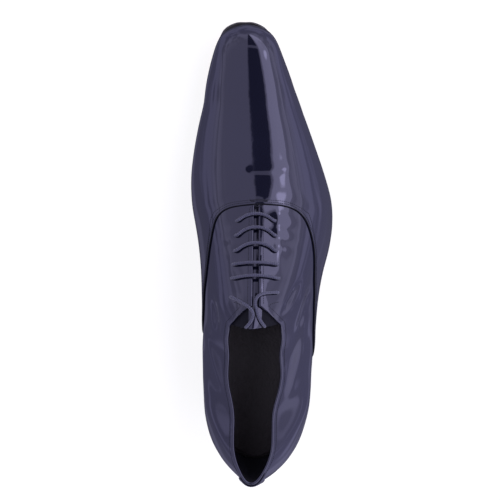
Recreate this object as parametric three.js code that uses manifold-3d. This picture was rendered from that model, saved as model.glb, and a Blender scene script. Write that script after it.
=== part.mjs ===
// A black patent leather oxford for the right foot, standing empty on its sole.
// Millimetres: x to the outer side of the foot, y from heel to toe, z up from the floor.
import * as THREE from "three";
import { mergeVertices } from "three/addons/utils/BufferGeometryUtils.js";
import Module from "manifold-3d";

const wasm = await Module();
wasm.setup();

// Driving sizes
const LENGTH = 312;
const BALL_WIDTH = 97.5;
const INSTEP_RISE = 87;
const HEEL_HEIGHT = 26;
const HEEL_PITCH = 2.5;
const TOE_SPRING = 9.5;
const SOLE_THICKNESS = 4.6;
const TOP_PIECE = 6.2;
const WALL = 2;
const VAMP_STEP = 1;
const SOLE_MARGIN = 4;
const HEEL_INSET = 0.6;
const HEEL_TAPER = 1.8;
const INSOLE_THICKNESS = 2.4;
const TONGUE_THICKNESS = 1.6;
const TONGUE_DROP = 0.7;
const LACE_DIAMETER = 2.1;
const GAP = 0.3;
const LACE_LIFT = WALL / 2 + GAP + LACE_DIAMETER / 2;

// How the sole stands on the floor, as shares of the length from the heel
const SEAT_FRONT = 0.29;
const TREAD_BACK = 0.565;
const TREAD_FRONT = 0.66;

// Fineness of the meshes
const ROWS_PER_SECTION = 2;
const OUTER_COLUMNS = 30;
const INNER_COLUMNS = 24;
const SOLE_STEPS = 2;
const SOLE_CUT_POINTS = 44;
const TOPLINE_POINTS = 36;
const VAMP_POINTS = 34;
const CORD_SIDES = 4;
const ARC_SEGMENTS = 6;
const BREAST_SEGMENTS = 10;
const SLOPE_REACH = 2;
const MERGE_WITHIN = 1e-4;
const BAR_STEPS = 10;
const END_STEPS = 24;
const TONGUE_ROWS = 12;
const TONGUE_COLUMNS = 8;

// Reaches of the cutting forms, clear of the shoe
const ABOVE = 135;
const FRONT = 330;
const BEHIND = -20;
const THROAT_FLOOR = 55;
const HOLLOW_DROP = 6;

// Sections of the upper at the middle of its wall. Each is a plane across the foot, hinged on
// the line where the upper meets the sole: tilt 0 stands upright, -90 lies flat around the
// heel, 90 flat around the toe. at is in percent of the length; rise, from the sole to the
// crest along the plane, in percent of the instep; med and lat (at the sole), medBelly and
// latBelly (at the widest) and crest in percent of the ball width. hip is the height of the
// belly, cap that of the shoulder, and full how far the shoulder reaches out, as shares.
const SECTIONS = [
  { at: 16.1, tilt: -90, rise: 55.2, med: -28.3, lat: 37.4, medBelly: -28.6, latBelly: 36.2,
    crest: 4.2, hip: 0.3, full: 0.79, cap: 0.7 },
  { at: 16.8, tilt: -72, rise: 66.0, med: -28.2, lat: 37.6, medBelly: -30.3, latBelly: 39.6,
    crest: 3.6, hip: 0.3, full: 0.76, cap: 0.71 },
  { at: 17.4, tilt: -52, rise: 82.6, med: -28.0, lat: 37.8, medBelly: -30.8, latBelly: 41.2,
    crest: 2.6, hip: 0.28, full: 0.56, cap: 0.8 },
  { at: 18.4, tilt: -34, rise: 104.0, med: -27.6, lat: 37.9, medBelly: -31.0, latBelly: 42.2,
    crest: 0.4, hip: 0.25, full: 0.29, cap: 0.84 },
  { at: 19.7, tilt: -16, rise: 92, med: -26.8, lat: 37.9, medBelly: -31.3, latBelly: 43.0,
    crest: 1.2, hip: 0.27, full: 0.3, cap: 0.7 },
  { at: 21.9, tilt: 0, rise: 86, med: -25.6, lat: 38.0, medBelly: -31.8, latBelly: 43.7,
    crest: 2.0, hip: 0.27, full: 0.42, cap: 0.67 },
  { at: 27.7, tilt: 0, rise: 88, med: -21.0, lat: 38.2, medBelly: -31.9, latBelly: 45.0,
    crest: 1.6, hip: 0.28, full: 0.42, cap: 0.69 },
  { at: 33.5, tilt: 0, rise: 92, med: -17.0, lat: 39.4, medBelly: -31.0, latBelly: 46.2,
    crest: 2.0, hip: 0.28, full: 0.43, cap: 0.8 },
  { at: 38.7, tilt: 0, rise: 95, med: -16.0, lat: 42.4, medBelly: -31.0, latBelly: 48.1,
    crest: 3.2, hip: 0.28, full: 0.5, cap: 0.85 },
  { at: 43.9, tilt: 0, rise: 92.6, med: -18.6, lat: 49.4, medBelly: -31.6, latBelly: 51.4,
    crest: 4.2, hip: 0.28, full: 0.54, cap: 0.86 },
  { at: 49.0, tilt: 0, rise: 87.1, med: -25.0, lat: 55.6, medBelly: -33.2, latBelly: 55.8,
    crest: 4.6, hip: 0.29, full: 0.55, cap: 0.88 },
  { at: 54.2, tilt: 0, rise: 80.5, med: -33.0, lat: 58.2, medBelly: -35.6, latBelly: 58.4,
    crest: 5.0, hip: 0.3, full: 0.56, cap: 0.89 },
  { at: 59.4, tilt: 0, rise: 73.3, med: -36.9, lat: 57.6, medBelly: -38.0, latBelly: 57.8,
    crest: 5.3, hip: 0.31, full: 0.57, cap: 0.89 },
  { at: 65.2, tilt: 0, rise: 63.8, med: -37.4, lat: 52.8, medBelly: -38.4, latBelly: 53.2,
    crest: 5.4, hip: 0.32, full: 0.58, cap: 0.89 },
  { at: 71.0, tilt: 0, rise: 54.9, med: -35.4, lat: 46.6, medBelly: -36.3, latBelly: 47.2,
    crest: 5.2, hip: 0.33, full: 0.59, cap: 0.89 },
  { at: 76.8, tilt: 0, rise: 47.4, med: -31.8, lat: 40.3, medBelly: -32.8, latBelly: 40.8,
    crest: 4.8, hip: 0.34, full: 0.6, cap: 0.89 },
  { at: 81.6, tilt: 0, rise: 41.9, med: -28.4, lat: 34.8, medBelly: -29.2, latBelly: 35.2,
    crest: 3.8, hip: 0.35, full: 0.61, cap: 0.89 },
  { at: 84.5, tilt: 14, rise: 38.6, med: -27.2, lat: 31.2, medBelly: -27.6, latBelly: 31.3,
    crest: 3.0, hip: 0.35, full: 0.62, cap: 0.89 },
  { at: 86.1, tilt: 32, rise: 36.9, med: -26.3, lat: 29.3, medBelly: -26.2, latBelly: 28.7,
    crest: 2.2, hip: 0.35, full: 0.62, cap: 0.89 },
  { at: 87.1, tilt: 51, rise: 37.3, med: -25.7, lat: 28.1, medBelly: -24.8, latBelly: 26.4,
    crest: 1.3, hip: 0.36, full: 0.66, cap: 0.88 },
  { at: 87.7, tilt: 70, rise: 38.6, med: -25.4, lat: 27.4, medBelly: -23.6, latBelly: 24.3,
    crest: 0.3, hip: 0.38, full: 0.68, cap: 0.86 },
  { at: 88.1, tilt: 90, rise: 39.0, med: -25.2, lat: 27.0, medBelly: -22.3, latBelly: 22.5,
    crest: -0.6, hip: 0.42, full: 0.7, cap: 0.83 },
];

// Edge of the outsole, in percent of the length and of the ball width
const SOLE_EDGE = [
  { at: 1.2, med: -7.6, lat: 16.6 },
  { at: 4.0, med: -20.2, lat: 27.4 },
  { at: 8.1, med: -29.0, lat: 34.6 },
  { at: 13.0, med: -31.2, lat: 38.2 },
  { at: 18.4, med: -29.4, lat: 39.6 },
  { at: 24.2, med: -25.9, lat: 40.6 },
  { at: 29.5, med: -21.6, lat: 40.9 },
  { at: 35.0, med: -18.2, lat: 43.6 },
  { at: 40.5, med: -17.0, lat: 49.4 },
  { at: 45.6, med: -21.4, lat: 55.6 },
  { at: 50.8, med: -29.2, lat: 60.4 },
  { at: 55.5, med: -37.4, lat: 62.0 },
  { at: 60.5, med: -40.9, lat: 60.2 },
  { at: 65.7, med: -41.3, lat: 55.8 },
  { at: 71.5, med: -38.4, lat: 49.6 },
  { at: 77.4, med: -34.4, lat: 43.0 },
  { at: 83.0, med: -30.4, lat: 36.8 },
  { at: 88.0, med: -27.5, lat: 30.5 },
  { at: 92.6, med: -23.2, lat: 23.9 },
  { at: 96.2, med: -20.2, lat: 18.6 },
  { at: 98.6, med: -15.8, lat: 13.6 },
  { at: 99.9, med: -7.6, lat: 5.2 },
];
const SOLE_BACK = 4.4;
const TOE_TIP = -1.2;

// Profiles of the edges of the outsole, as shares of its thickness, and of the top piece, as
// shares of its own: how far each height lies inside the outline
const OUTSOLE_PROFILE = [
  { inset: 1.6, height: 0 },
  { inset: 0.3, height: 0.22 },
  { inset: 0, height: 0.5 },
  { inset: 0.3, height: 0.85 },
  { inset: 1, height: 1 },
];
const TOP_PIECE_PROFILE = [
  { inset: 2.8, height: 0 },
  { inset: 2, height: 0.16 },
  { inset: 1.8, height: 1 },
];

// Side profile of the collar, from the heel to the front of the facings: at in percent of the
// length, height in millimetres above the floor
const TOPLINE = [
  { at: -4, height: 97 },
  { at: 1, height: 96.5 },
  { at: 4.5, height: 93.4 },
  { at: 9, height: 88.8 },
  { at: 13, height: 84.6 },
  { at: 17.5, height: 81.4 },
  { at: 22, height: 79.6 },
  { at: 26, height: 79.6 },
  { at: 30, height: 82.4 },
  { at: 32.7, height: 87.6 },
  { at: 35.5, height: 94 },
  { at: 38.2, height: 99.4 },
  { at: 39.7, height: 104 },
  { at: 40, height: 130 },
];

// Side profile of the vamp's edge, from the throat down and back to the sole, on the inner
// and the outer side of the foot, in percent of the length and millimetres
const VAMP_EDGE = [
  { med: 60.3, lat: 60.3, height: 90 },
  { med: 60.3, lat: 60.3, height: 71 },
  { med: 59.4, lat: 59.6, height: 66 },
  { med: 56.6, lat: 57, height: 61.5 },
  { med: 51.4, lat: 52, height: 58.6 },
  { med: 44, lat: 44, height: 56.6 },
  { med: 37, lat: 36, height: 54 },
  { med: 32.4, lat: 28.2, height: 49.5 },
  { med: 30.2, lat: 25.2, height: 43 },
  { med: 29.8, lat: 24.4, height: 34 },
  { med: 29.8, lat: 24.4, height: 0 },
];

// The facings and the lace
const THROAT = { at: 59.9, end: 36, x: 5.8, endX: 4.6, width: 2.6, endWidth: 4 };
const LACE_BARS = [
  { at: 56.5, span: 23.4, bow: 4.6 },
  { at: 53.4, span: 24.2, bow: 5.4 },
  { at: 50.2, span: 24.8, bow: 5 },
  { at: 47.4, span: 26, bow: 1.2 },
  { at: 44.6, span: 26.6, bow: 2 },
];
const BAR_PLACES = [-1, -0.67, -0.33, 0, 0.33, 0.67, 1];
const TONGUE = { front: 61.4, back: 34.5, width: 29, endWidth: 36 };
const HEEL_TAB_AT = 2;
const HEEL_TAB = { width: 15, lowWidth: 9, top: 94.6, low: 60, thickness: 0.9 };
const LACE_ENDS = {
  left: [
    { x: -9.8, y: 127.2, lift: 2.4 },
    { x: -6.2, y: 126, lift: 2.4 },
    { x: -2.6, y: 124.2, lift: 2.4 },
    { x: 0.9, y: 121.9, lift: 2.3 },
    { x: 3, y: 119, lift: 0.9 },
    { x: 3.1, y: 116.4, lift: -0.2 },
    { x: 2, y: 113.6, lift: -0.3 },
    { x: 0.3, y: 111.2, lift: -0.3 },
    { x: -1.8, y: 108.9, lift: -0.3 },
  ],
  right: [
    { x: 18.3, y: 130.2, lift: 2.4 },
    { x: 13, y: 130.3, lift: 2.4 },
    { x: 8.9, y: 129.8, lift: 2.5 },
    { x: 5.9, y: 128.1, lift: 2.2 },
    { x: 4.7, y: 125.4, lift: 0.8 },
    { x: 4.9, y: 122.4, lift: -0.2 },
    { x: 5.9, y: 118.6, lift: -0.3 },
    { x: 7.2, y: 115, lift: -0.3 },
    { x: 9.2, y: 111.6, lift: -0.3 },
    { x: 11, y: 109, lift: -0.3 },
  ],
};

// The heel's breast: how far forward it stands on the outer side, in the middle and on the
// inner side of the foot
const BREAST = { lat: 75, middle: 66, med: 86, latX: 48.8, medX: -32.5 };

const mm = (percent) => (percent / 100) * LENGTH;
const wide = (percent) => (percent / 100) * BALL_WIDTH;

// Underside of the outsole above the floor at y: a level seat that slopes a little forward,
// an arch down to the tread, and the toe spring
function soleUnder(y) {
  const seat = SEAT_FRONT * LENGTH;
  const tread = TREAD_BACK * LENGTH;
  const spring = TREAD_FRONT * LENGTH;
  const slope = -HEEL_PITCH / seat;
  if (y <= seat) return HEEL_HEIGHT + slope * y;
  if (y < tread) {
    const t = (y - seat) / (tread - seat);
    const start = HEEL_HEIGHT - HEEL_PITCH;
    return start * (2 * t ** 3 - 3 * t ** 2 + 1) + slope * (tread - seat) * t * (1 - t) ** 2;
  }
  return y < spring ? 0 : TOE_SPRING * ((y - spring) / (LENGTH - spring)) ** 2;
}

const soleTop = (y) => soleUnder(y) + SOLE_THICKNESS;

// A solid from vertices and triangles
function solidOf(vertices, triangles) {
  const flat = new THREE.BufferGeometry();
  flat.setAttribute("position", new THREE.Float32BufferAttribute(vertices, 3));
  flat.setIndex(triangles);
  return toSolid(flat);
}

function toSolid(geometry) {
  const bare = geometry.clone();
  bare.deleteAttribute("normal");
  bare.deleteAttribute("uv");
  const merged = mergeVertices(bare, MERGE_WITHIN);
  const vertProperties = merged.getAttribute("position").array;
  const triVerts = new Uint32Array(merged.getIndex().array);
  return new wasm.Manifold(new wasm.Mesh({ numProp: 3, vertProperties, triVerts }));
}

// A mesh from a solid
function meshOf(name, solid, look) {
  const { vertProperties, triVerts } = solid.getMesh();
  const geometry = new THREE.BufferGeometry();
  geometry.setAttribute("position", new THREE.BufferAttribute(vertProperties, 3));
  geometry.setIndex(new THREE.BufferAttribute(triVerts, 1));
  geometry.computeVertexNormals();
  const mesh = new THREE.Mesh(geometry, new THREE.MeshStandardMaterial(look));
  mesh.name = name;
  return mesh;
}

// Curve of one section, from the inner edge at the sole over the crest to the outer edge
function sectionCurve(row) {
  const tilt = THREE.MathUtils.degToRad(row.tilt);
  const rise = (row.rise / 100) * INSTEP_RISE;
  const place = (x, height) => {
    const up = rise * height;
    const y = mm(row.at) + up * Math.sin(tilt);
    return new THREE.Vector3(wide(x), y, soleTop(y) + up * Math.cos(tilt));
  };
  const shoulder = (belly) => row.crest + row.full * (belly - row.crest);
  return new THREE.CatmullRomCurve3(
    [
      place(row.med, 0),
      place(row.medBelly, row.hip),
      place(shoulder(row.medBelly), row.cap),
      place(row.crest, 1),
      place(shoulder(row.latBelly), row.cap),
      place(row.latBelly, row.hip),
      place(row.lat, 0),
    ],
    false,
    "centripetal",
  );
}

// Every column of the sections' curves is carried on as a smooth line along the foot
function smoothRows(curves, columns) {
  const rows = curves.map((curve) => curve.getSpacedPoints(columns));
  const steps = (curves.length - 1) * ROWS_PER_SECTION;
  const lines = rows[0].map((_, c) => {
    const line = new THREE.CatmullRomCurve3(rows.map((row) => row[c]), false, "centripetal");
    return line.getPoints(steps);
  });
  return Array.from({ length: steps + 1 }, (_, r) => lines.map((line) => line[r]));
}

// Points of a grid moved outwards along its normals; a rim on the sole stays on it
function offsetGrid(grid, distance) {
  const last = grid.length - 1;
  const end = grid[0].length - 1;
  return grid.map((row, r) =>
    row.map((point, c) => {
      const ahead = grid[Math.min(r + 1, last)][c];
      const behind = grid[Math.max(r - 1, 0)][c];
      const along = ahead.clone().sub(behind);
      const across = row[Math.min(c + 1, end)].clone().sub(row[Math.max(c - 1, 0)]);
      const normal = across.cross(along).normalize();
      const rim = r === 0 || r === last || c === 0 || c === end;
      if (rim) normal.setZ(0).normalize();
      const moved = point.clone().addScaledVector(normal, distance);
      return rim ? moved.setZ(soleTop(moved.y)) : moved;
    }),
  );
}

// Closes a grid that is open below: its rim is carried down by a drop and capped across
function closeGrid(grid, drop) {
  const rows = grid.length;
  const columns = grid[0].length;
  const vertices = [];
  const triangles = [];
  grid.flat().forEach((p) => vertices.push(p.x, p.y, p.z));
  const top = (r, c) => r * columns + c;
  const low = new Map();
  const bottom = (r, c) => {
    if (drop === 0) return top(r, c);
    const key = top(r, c);
    if (!low.has(key)) {
      const p = grid[r][c];
      low.set(key, vertices.length / 3);
      vertices.push(p.x, p.y, p.z - drop);
    }
    return low.get(key);
  };
  const quad = (a, b, c, d) => triangles.push(a, b, c, a, c, d);
  for (let r = 0; r < rows - 1; r++) {
    for (let c = 0; c < columns - 1; c++) {
      quad(top(r, c), top(r, c + 1), top(r + 1, c + 1), top(r + 1, c));
    }
    quad(bottom(r, 0), bottom(r + 1, 0), bottom(r + 1, columns - 1), bottom(r, columns - 1));
  }
  // The flat ends, zipped between the two sides
  for (let c = 0; c < Math.floor((columns - 1) / 2); c++) {
    const far = columns - 1 - c;
    quad(bottom(0, c), bottom(0, far), bottom(0, far - 1), bottom(0, c + 1));
    const end = rows - 1;
    quad(bottom(end, c), bottom(end, c + 1), bottom(end, far - 1), bottom(end, far));
  }
  if (drop !== 0) {
    const rim = [];
    for (let c = 0; c < columns; c++) rim.push([0, c]);
    for (let r = 1; r < rows; r++) rim.push([r, columns - 1]);
    for (let c = columns - 2; c >= 0; c--) rim.push([rows - 1, c]);
    for (let r = rows - 2; r > 0; r--) rim.push([r, 0]);
    rim.forEach(([r, c], i) => {
      const [nextR, nextC] = rim[(i + 1) % rim.length];
      quad(top(r, c), bottom(r, c), bottom(nextR, nextC), top(nextR, nextC));
    });
  }
  return solidOf(vertices, triangles);
}

const sectionCurves = SECTIONS.map(sectionCurve);
const outerGrid = smoothRows(sectionCurves, OUTER_COLUMNS);
const innerGrid = smoothRows(sectionCurves, INNER_COLUMNS);

// A solid with the given outline in the side view, y against z, from one side of the foot to
// the other
function sideSolid(outline, fromX, toX) {
  const shape = new THREE.Shape(outline.map(([y, z]) => new THREE.Vector2(y, z)));
  const geometry = new THREE.ExtrudeGeometry(shape, { depth: toX - fromX, bevelEnabled: false });
  // The shape's own x and y become y and z, and its depth becomes x
  geometry.applyMatrix4(
    new THREE.Matrix4().makeBasis(
      new THREE.Vector3(0, 1, 0),
      new THREE.Vector3(0, 0, 1),
      new THREE.Vector3(1, 0, 0),
    ),
  );
  return toSolid(geometry.translate(fromX, 0, 0));
}

// A smooth line through the points of a table
function smoothLine(points, count) {
  const vectors = points.map(([y, z]) => new THREE.Vector3(0, y, z));
  const line = new THREE.CatmullRomCurve3(vectors, false, "centripetal");
  return line.getPoints(count).map((p) => [p.y, p.z]);
}

// What lies above the topline
function collarCut() {
  const line = smoothLine(TOPLINE.map((p) => [mm(p.at), p.height]), TOPLINE_POINTS);
  return sideSolid([...line, [line[0][0], ABOVE]], -BALL_WIDTH, BALL_WIDTH);
}

// What lies below the upper: the sole and the gap above it
function soleCut() {
  const reach = FRONT - BEHIND;
  const line = Array.from({ length: SOLE_CUT_POINTS + 1 }, (_, i) => {
    const y = BEHIND + (reach * i) / SOLE_CUT_POINTS;
    return [y, soleTop(y) + GAP];
  });
  return sideSolid([[BEHIND, BEHIND], [FRONT, BEHIND], ...line.toReversed()], -BALL_WIDTH, BALL_WIDTH);
}

// The slit between the facings: it opens a little towards the collar
function slitCut() {
  const shape = new THREE.Shape();
  const front = mm(THROAT.at);
  const back = mm(THROAT.end);
  const half = THROAT.width / 2;
  const endHalf = THROAT.endWidth / 2;
  shape.moveTo(THROAT.x - half, front - half);
  shape.lineTo(THROAT.endX - endHalf, back);
  shape.lineTo(THROAT.endX + endHalf, back);
  shape.lineTo(THROAT.x + half, front - half);
  shape.absarc(THROAT.x, front - half, half, 0, Math.PI, false);
  const options = {
    depth: ABOVE - THROAT_FLOOR,
    bevelEnabled: false,
    curveSegments: ARC_SEGMENTS,
  };
  return toSolid(new THREE.ExtrudeGeometry(shape, options).translate(0, 0, THROAT_FLOOR));
}

// What the vamp covers: all in front of its edge, on both sides of the foot
function vampReach() {
  const side = (key, fromX, toX) => {
    const line = smoothLine(VAMP_EDGE.map((p) => [mm(p[key]), p.height]), VAMP_POINTS);
    return sideSolid([...line, [FRONT, 0], [FRONT, line[0][1]]], fromX, toX);
  };
  const middle = THROAT.x;
  return side("med", -BALL_WIDTH, middle).add(side("lat", middle, BALL_WIDTH));
}

// The upper: quarters, with the vamp as a step on them, hollow and open at the collar, at the
// throat and underneath
function upper() {
  const quarters = closeGrid(offsetGrid(outerGrid, WALL / 2), 0);
  const vamp = closeGrid(offsetGrid(outerGrid, WALL / 2 + VAMP_STEP), 0);
  const hollow = closeGrid(offsetGrid(innerGrid, -WALL / 2), HOLLOW_DROP);
  return quarters
    .add(vamp.intersect(vampReach()))
    .subtract(hollow)
    .subtract(soleCut())
    .subtract(collarCut())
    .subtract(slitCut());
}

// A slab with a ring outline, level across the foot, whose two faces follow the given heights.
// The ring is taken in pairs, one point on each side at the same place along the foot.
function ringSlab(loops) {
  const count = loops[0].length;
  const vertices = loops.flat().flatMap((p) => [p.x, p.y, p.z]);
  const triangles = [];
  const triangle = (a, b, c) => {
    if (a !== b && b !== c && c !== a) triangles.push(a, b, c);
  };
  const quad = (a, b, c, d) => {
    triangle(a, b, c);
    triangle(a, c, d);
  };
  for (let l = 0; l < loops.length - 1; l++) {
    for (let i = 0; i < count; i++) {
      const next = (i + 1) % count;
      quad(l * count + i, l * count + next, (l + 1) * count + next, (l + 1) * count + i);
    }
  }
  const roof = (loops.length - 1) * count;
  for (let i = 0; i < count / 2; i++) {
    const far = (count - i) % count;
    const farNext = count - i - 1;
    // Point 0 and the one half way round are the two ends, which pair with themselves
    quad(roof + i, roof + i + 1, roof + farNext, roof + far);
    quad(i, far, farNext, i + 1);
  }
  return solidOf(vertices, triangles);
}

// A closed outline from a table of edges, as pairs: from the heel along the outer side to the
// toe, and back along the inner side
function outline(table, back, front, perStep) {
  const point = (x, at) => new THREE.Vector3(wide(x), mm(at), 0);
  const points = [
    point(back.x, back.at),
    ...table.map((row) => point(row.lat, row.at)),
    point(front.x, front.at),
    ...table.toReversed().map((row) => point(row.med, row.at)),
  ];
  const ring = new THREE.CatmullRomCurve3(points, true, "centripetal");
  return ring.getPoints(points.length * perStep).slice(0, -1);
}

// The outline drawn in by a margin
function inset(ring, margin) {
  const count = ring.length;
  return ring.map((point, i) => {
    const along = ring[(i + 1) % count].clone().sub(ring[(i + count - 1) % count]);
    const inwards = new THREE.Vector3(-along.y, along.x, 0).normalize();
    return point.clone().addScaledVector(inwards, margin);
  });
}

const atHeight = (ring, height) => ring.map((p) => new THREE.Vector3(p.x, p.y, height(p.y)));

const soleRing = outline(SOLE_EDGE, { x: SOLE_BACK, at: 0 }, { x: TOE_TIP, at: 100 }, SOLE_STEPS);

// The outsole: one leather thickness with its edge trimmed round above and below
function outsole() {
  return ringSlab(
    OUTSOLE_PROFILE.map((edge) => {
      const ring = inset(soleRing, edge.inset);
      return atHeight(ring, (y) => soleUnder(y) + edge.height * SOLE_THICKNESS);
    }),
  );
}

// The heel's outline in plan, behind its slightly hollow breast
function behindBreast() {
  const shape = new THREE.Shape();
  shape.moveTo(-BALL_WIDTH, BEHIND);
  shape.lineTo(BALL_WIDTH, BEHIND);
  shape.lineTo(BREAST.latX, BREAST.lat);
  shape.quadraticCurveTo(wide(SOLE_BACK), BREAST.middle, BREAST.medX, BREAST.med);
  shape.lineTo(-BALL_WIDTH, BREAST.med);
  const options = { depth: ABOVE, bevelEnabled: false, curveSegments: BREAST_SEGMENTS };
  return toSolid(new THREE.ExtrudeGeometry(shape, options).translate(0, 0, BEHIND));
}

// Leather lifts between the outsole and the top piece
function heelStack() {
  const lifts = ringSlab([
    atHeight(inset(soleRing, HEEL_TAPER), () => TOP_PIECE + GAP),
    atHeight(inset(soleRing, HEEL_INSET), (y) => soleUnder(y) - GAP),
  ]);
  return lifts.intersect(behindBreast());
}

// The rubber top piece that stands on the floor
function topPiece() {
  const slab = ringSlab(
    TOP_PIECE_PROFILE.map((edge) => {
      return atHeight(inset(soleRing, edge.inset), () => edge.height * TOP_PIECE);
    }),
  );
  return slab.intersect(behindBreast());
}

// The insole with its sock, fitted inside the wall
function insole() {
  const edge = inset(soleRing, SOLE_MARGIN);
  const slab = ringSlab([
    atHeight(edge, (y) => soleTop(y) + GAP),
    atHeight(edge, (y) => soleTop(y) + GAP + INSOLE_THICKNESS),
  ]);
  const room = closeGrid(offsetGrid(innerGrid, -WALL / 2 - GAP), HOLLOW_DROP);
  return slab.intersect(room);
}

// Height of the middle of the wall over a place on the instep
function instepHeight(x, y) {
  const next = outerGrid.findIndex((row) => row[0].y > y);
  const [low, high] = [outerGrid[next - 1], outerGrid[next]];
  const t = (y - low[0].y) / (high[0].y - low[0].y);
  const line = low.map((point, c) => point.clone().lerp(high[c], t));
  let height = 0;
  for (let c = 0; c < line.length - 1; c++) {
    const [a, b] = [line[c], line[c + 1]];
    if (a.x <= x && x <= b.x) height = Math.max(height, a.z + ((b.z - a.z) * (x - a.x)) / (b.x - a.x));
  }
  return height;
}

// A point at a distance from the middle of the instep's wall
function onInstep(x, y, distance) {
  const reach = SLOPE_REACH;
  const slopeX = (instepHeight(x + reach, y) - instepHeight(x - reach, y)) / (2 * reach);
  const slopeY = (instepHeight(x, y + reach) - instepHeight(x, y - reach)) / (2 * reach);
  const normal = new THREE.Vector3(-slopeX, -slopeY, 1).normalize();
  return new THREE.Vector3(x, y, instepHeight(x, y)).addScaledVector(normal, distance);
}

// Middle line of the throat at y
function throatX(y) {
  const t = THREE.MathUtils.inverseLerp(mm(THROAT.at), mm(THROAT.end), y);
  return THREE.MathUtils.lerp(THROAT.x, THROAT.endX, t);
}

// The tongue lies under the facings and stands out above them
function tongue() {
  const face = (depth) =>
    Array.from({ length: TONGUE_ROWS + 1 }, (_, r) => {
      const t = r / TONGUE_ROWS;
      const y = THREE.MathUtils.lerp(mm(TONGUE.back), mm(TONGUE.front), t);
      const half = THREE.MathUtils.lerp(TONGUE.endWidth, TONGUE.width, t) / 2;
      return Array.from({ length: TONGUE_COLUMNS + 1 }, (_, c) => {
        const x = throatX(y) + half * ((2 * c) / TONGUE_COLUMNS - 1);
        return onInstep(x, y, -depth);
      });
    });
  const depth = WALL / 2 + TONGUE_DROP;
  return sheet(face(depth), face(depth + TONGUE_THICKNESS));
}

// A sheet between its upper and its lower face
function sheet(upperFace, lowerFace) {
  const rows = upperFace.length;
  const columns = upperFace[0].length;
  const vertices = [...upperFace, ...lowerFace].flat().flatMap((p) => [p.x, p.y, p.z]);
  const top = (r, c) => r * columns + c;
  const low = (r, c) => (rows + r) * columns + c;
  const triangles = [];
  const quad = (a, b, c, d) => triangles.push(a, b, c, a, c, d);
  for (let r = 0; r < rows - 1; r++) {
    for (let c = 0; c < columns - 1; c++) {
      quad(top(r, c), top(r, c + 1), top(r + 1, c + 1), top(r + 1, c));
      quad(low(r, c), low(r + 1, c), low(r + 1, c + 1), low(r, c + 1));
    }
    quad(top(r, 0), top(r + 1, 0), low(r + 1, 0), low(r, 0));
    const end = columns - 1;
    quad(top(r, end), low(r, end), low(r + 1, end), top(r + 1, end));
  }
  for (let c = 0; c < columns - 1; c++) {
    const end = rows - 1;
    quad(top(0, c), low(0, c), low(0, c + 1), top(0, c + 1));
    quad(top(end, c), top(end, c + 1), low(end, c + 1), low(end, c));
  }
  return solidOf(vertices, triangles);
}

// A round cord along points
function cord(points, steps) {
  const round = new THREE.Shape().absarc(0, 0, LACE_DIAMETER / 2, 0, 2 * Math.PI, false);
  const extrudePath = new THREE.CatmullRomCurve3(points, false, "centripetal");
  const options = { steps, extrudePath, bevelEnabled: false, curveSegments: CORD_SIDES };
  return toSolid(new THREE.ExtrudeGeometry(round, options));
}

// A bar of the lace between a pair of eyelets, bowed a little to the toe
function laceBar({ at, span, bow }) {
  const points = BAR_PLACES.map((s) => {
    const y = mm(at) + bow * (1 - s * s);
    return onInstep(throatX(mm(at)) + (s * span) / 2, y, LACE_LIFT);
  });
  return cord(points, BAR_STEPS);
}

// A free end of the lace: from its top eyelet over the facing and down on the tongue
function laceEnd(places) {
  return cord(places.map((p) => onInstep(p.x, p.y, p.lift)), END_STEPS);
}

// The strip over the back seam, wide at the collar and narrow below
function heelTab() {
  const shape = new THREE.Shape();
  const half = HEEL_TAB.width / 2;
  const low = HEEL_TAB.lowWidth / 2;
  const middle = wide(HEEL_TAB_AT);
  shape.moveTo(middle - half, HEEL_TAB.top);
  shape.lineTo(middle - low, HEEL_TAB.low);
  shape.absarc(middle, HEEL_TAB.low, low, Math.PI, 2 * Math.PI, false);
  shape.lineTo(middle + half, HEEL_TAB.top);
  const options = { depth: -BEHIND * 2, bevelEnabled: false, curveSegments: ARC_SEGMENTS };
  const geometry = new THREE.ExtrudeGeometry(shape, options);
  // The shape's own y becomes height, and its depth runs forward from behind the heel
  geometry.applyMatrix4(
    new THREE.Matrix4().makeBasis(
      new THREE.Vector3(1, 0, 0),
      new THREE.Vector3(0, 0, 1),
      new THREE.Vector3(0, -1, 0),
    ),
  );
  const reach = toSolid(geometry.translate(0, -BEHIND, 0));
  const skin = closeGrid(offsetGrid(outerGrid, WALL / 2 + GAP + HEEL_TAB.thickness), 0);
  const bed = closeGrid(offsetGrid(outerGrid, WALL / 2 + GAP), HOLLOW_DROP);
  return skin.intersect(reach).subtract(bed);
}

const leather = { color: 0x26242e, roughness: 0.12, metalness: 0 };
const looks = {
  outsole: { color: 0xb07a62, roughness: 0.35, metalness: 0 },
  heel: { color: 0x1b1a20, roughness: 0.4, metalness: 0 },
  rubber: { color: 0x3c3d50, roughness: 0.6, metalness: 0 },
  sock: { color: 0x2c2829, roughness: 0.6, metalness: 0 },
  lace: { color: 0x2a2936, roughness: 0.7, metalness: 0 },
};

const solids = new THREE.Group();
solids.add(meshOf("outsole", outsole(), looks.outsole));
solids.add(meshOf("heel_stack", heelStack(), looks.heel));
solids.add(meshOf("heel_top_piece", topPiece(), looks.rubber));
solids.add(meshOf("insole", insole(), looks.sock));
solids.add(meshOf("upper", upper(), leather));
solids.add(meshOf("heel_tab", heelTab(), leather));
solids.add(meshOf("tongue", tongue(), leather));
LACE_BARS.forEach((bar, i) => {
  solids.add(meshOf(`lace_bar_${i + 1}`, laceBar(bar), looks.lace));
});

// The origin is on the floor, at the middle of the shoe's length and width
const middle = new THREE.Box3().setFromObject(solids).getCenter(new THREE.Vector3());
solids.position.set(-middle.x, -middle.y, 0);
solids.add(meshOf("lace_end_left", laceEnd(LACE_ENDS.left), looks.lace));
solids.add(meshOf("lace_end_right", laceEnd(LACE_ENDS.right), looks.lace));

const shoe = new THREE.Group();
shoe.add(solids);

export default shoe;
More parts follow.
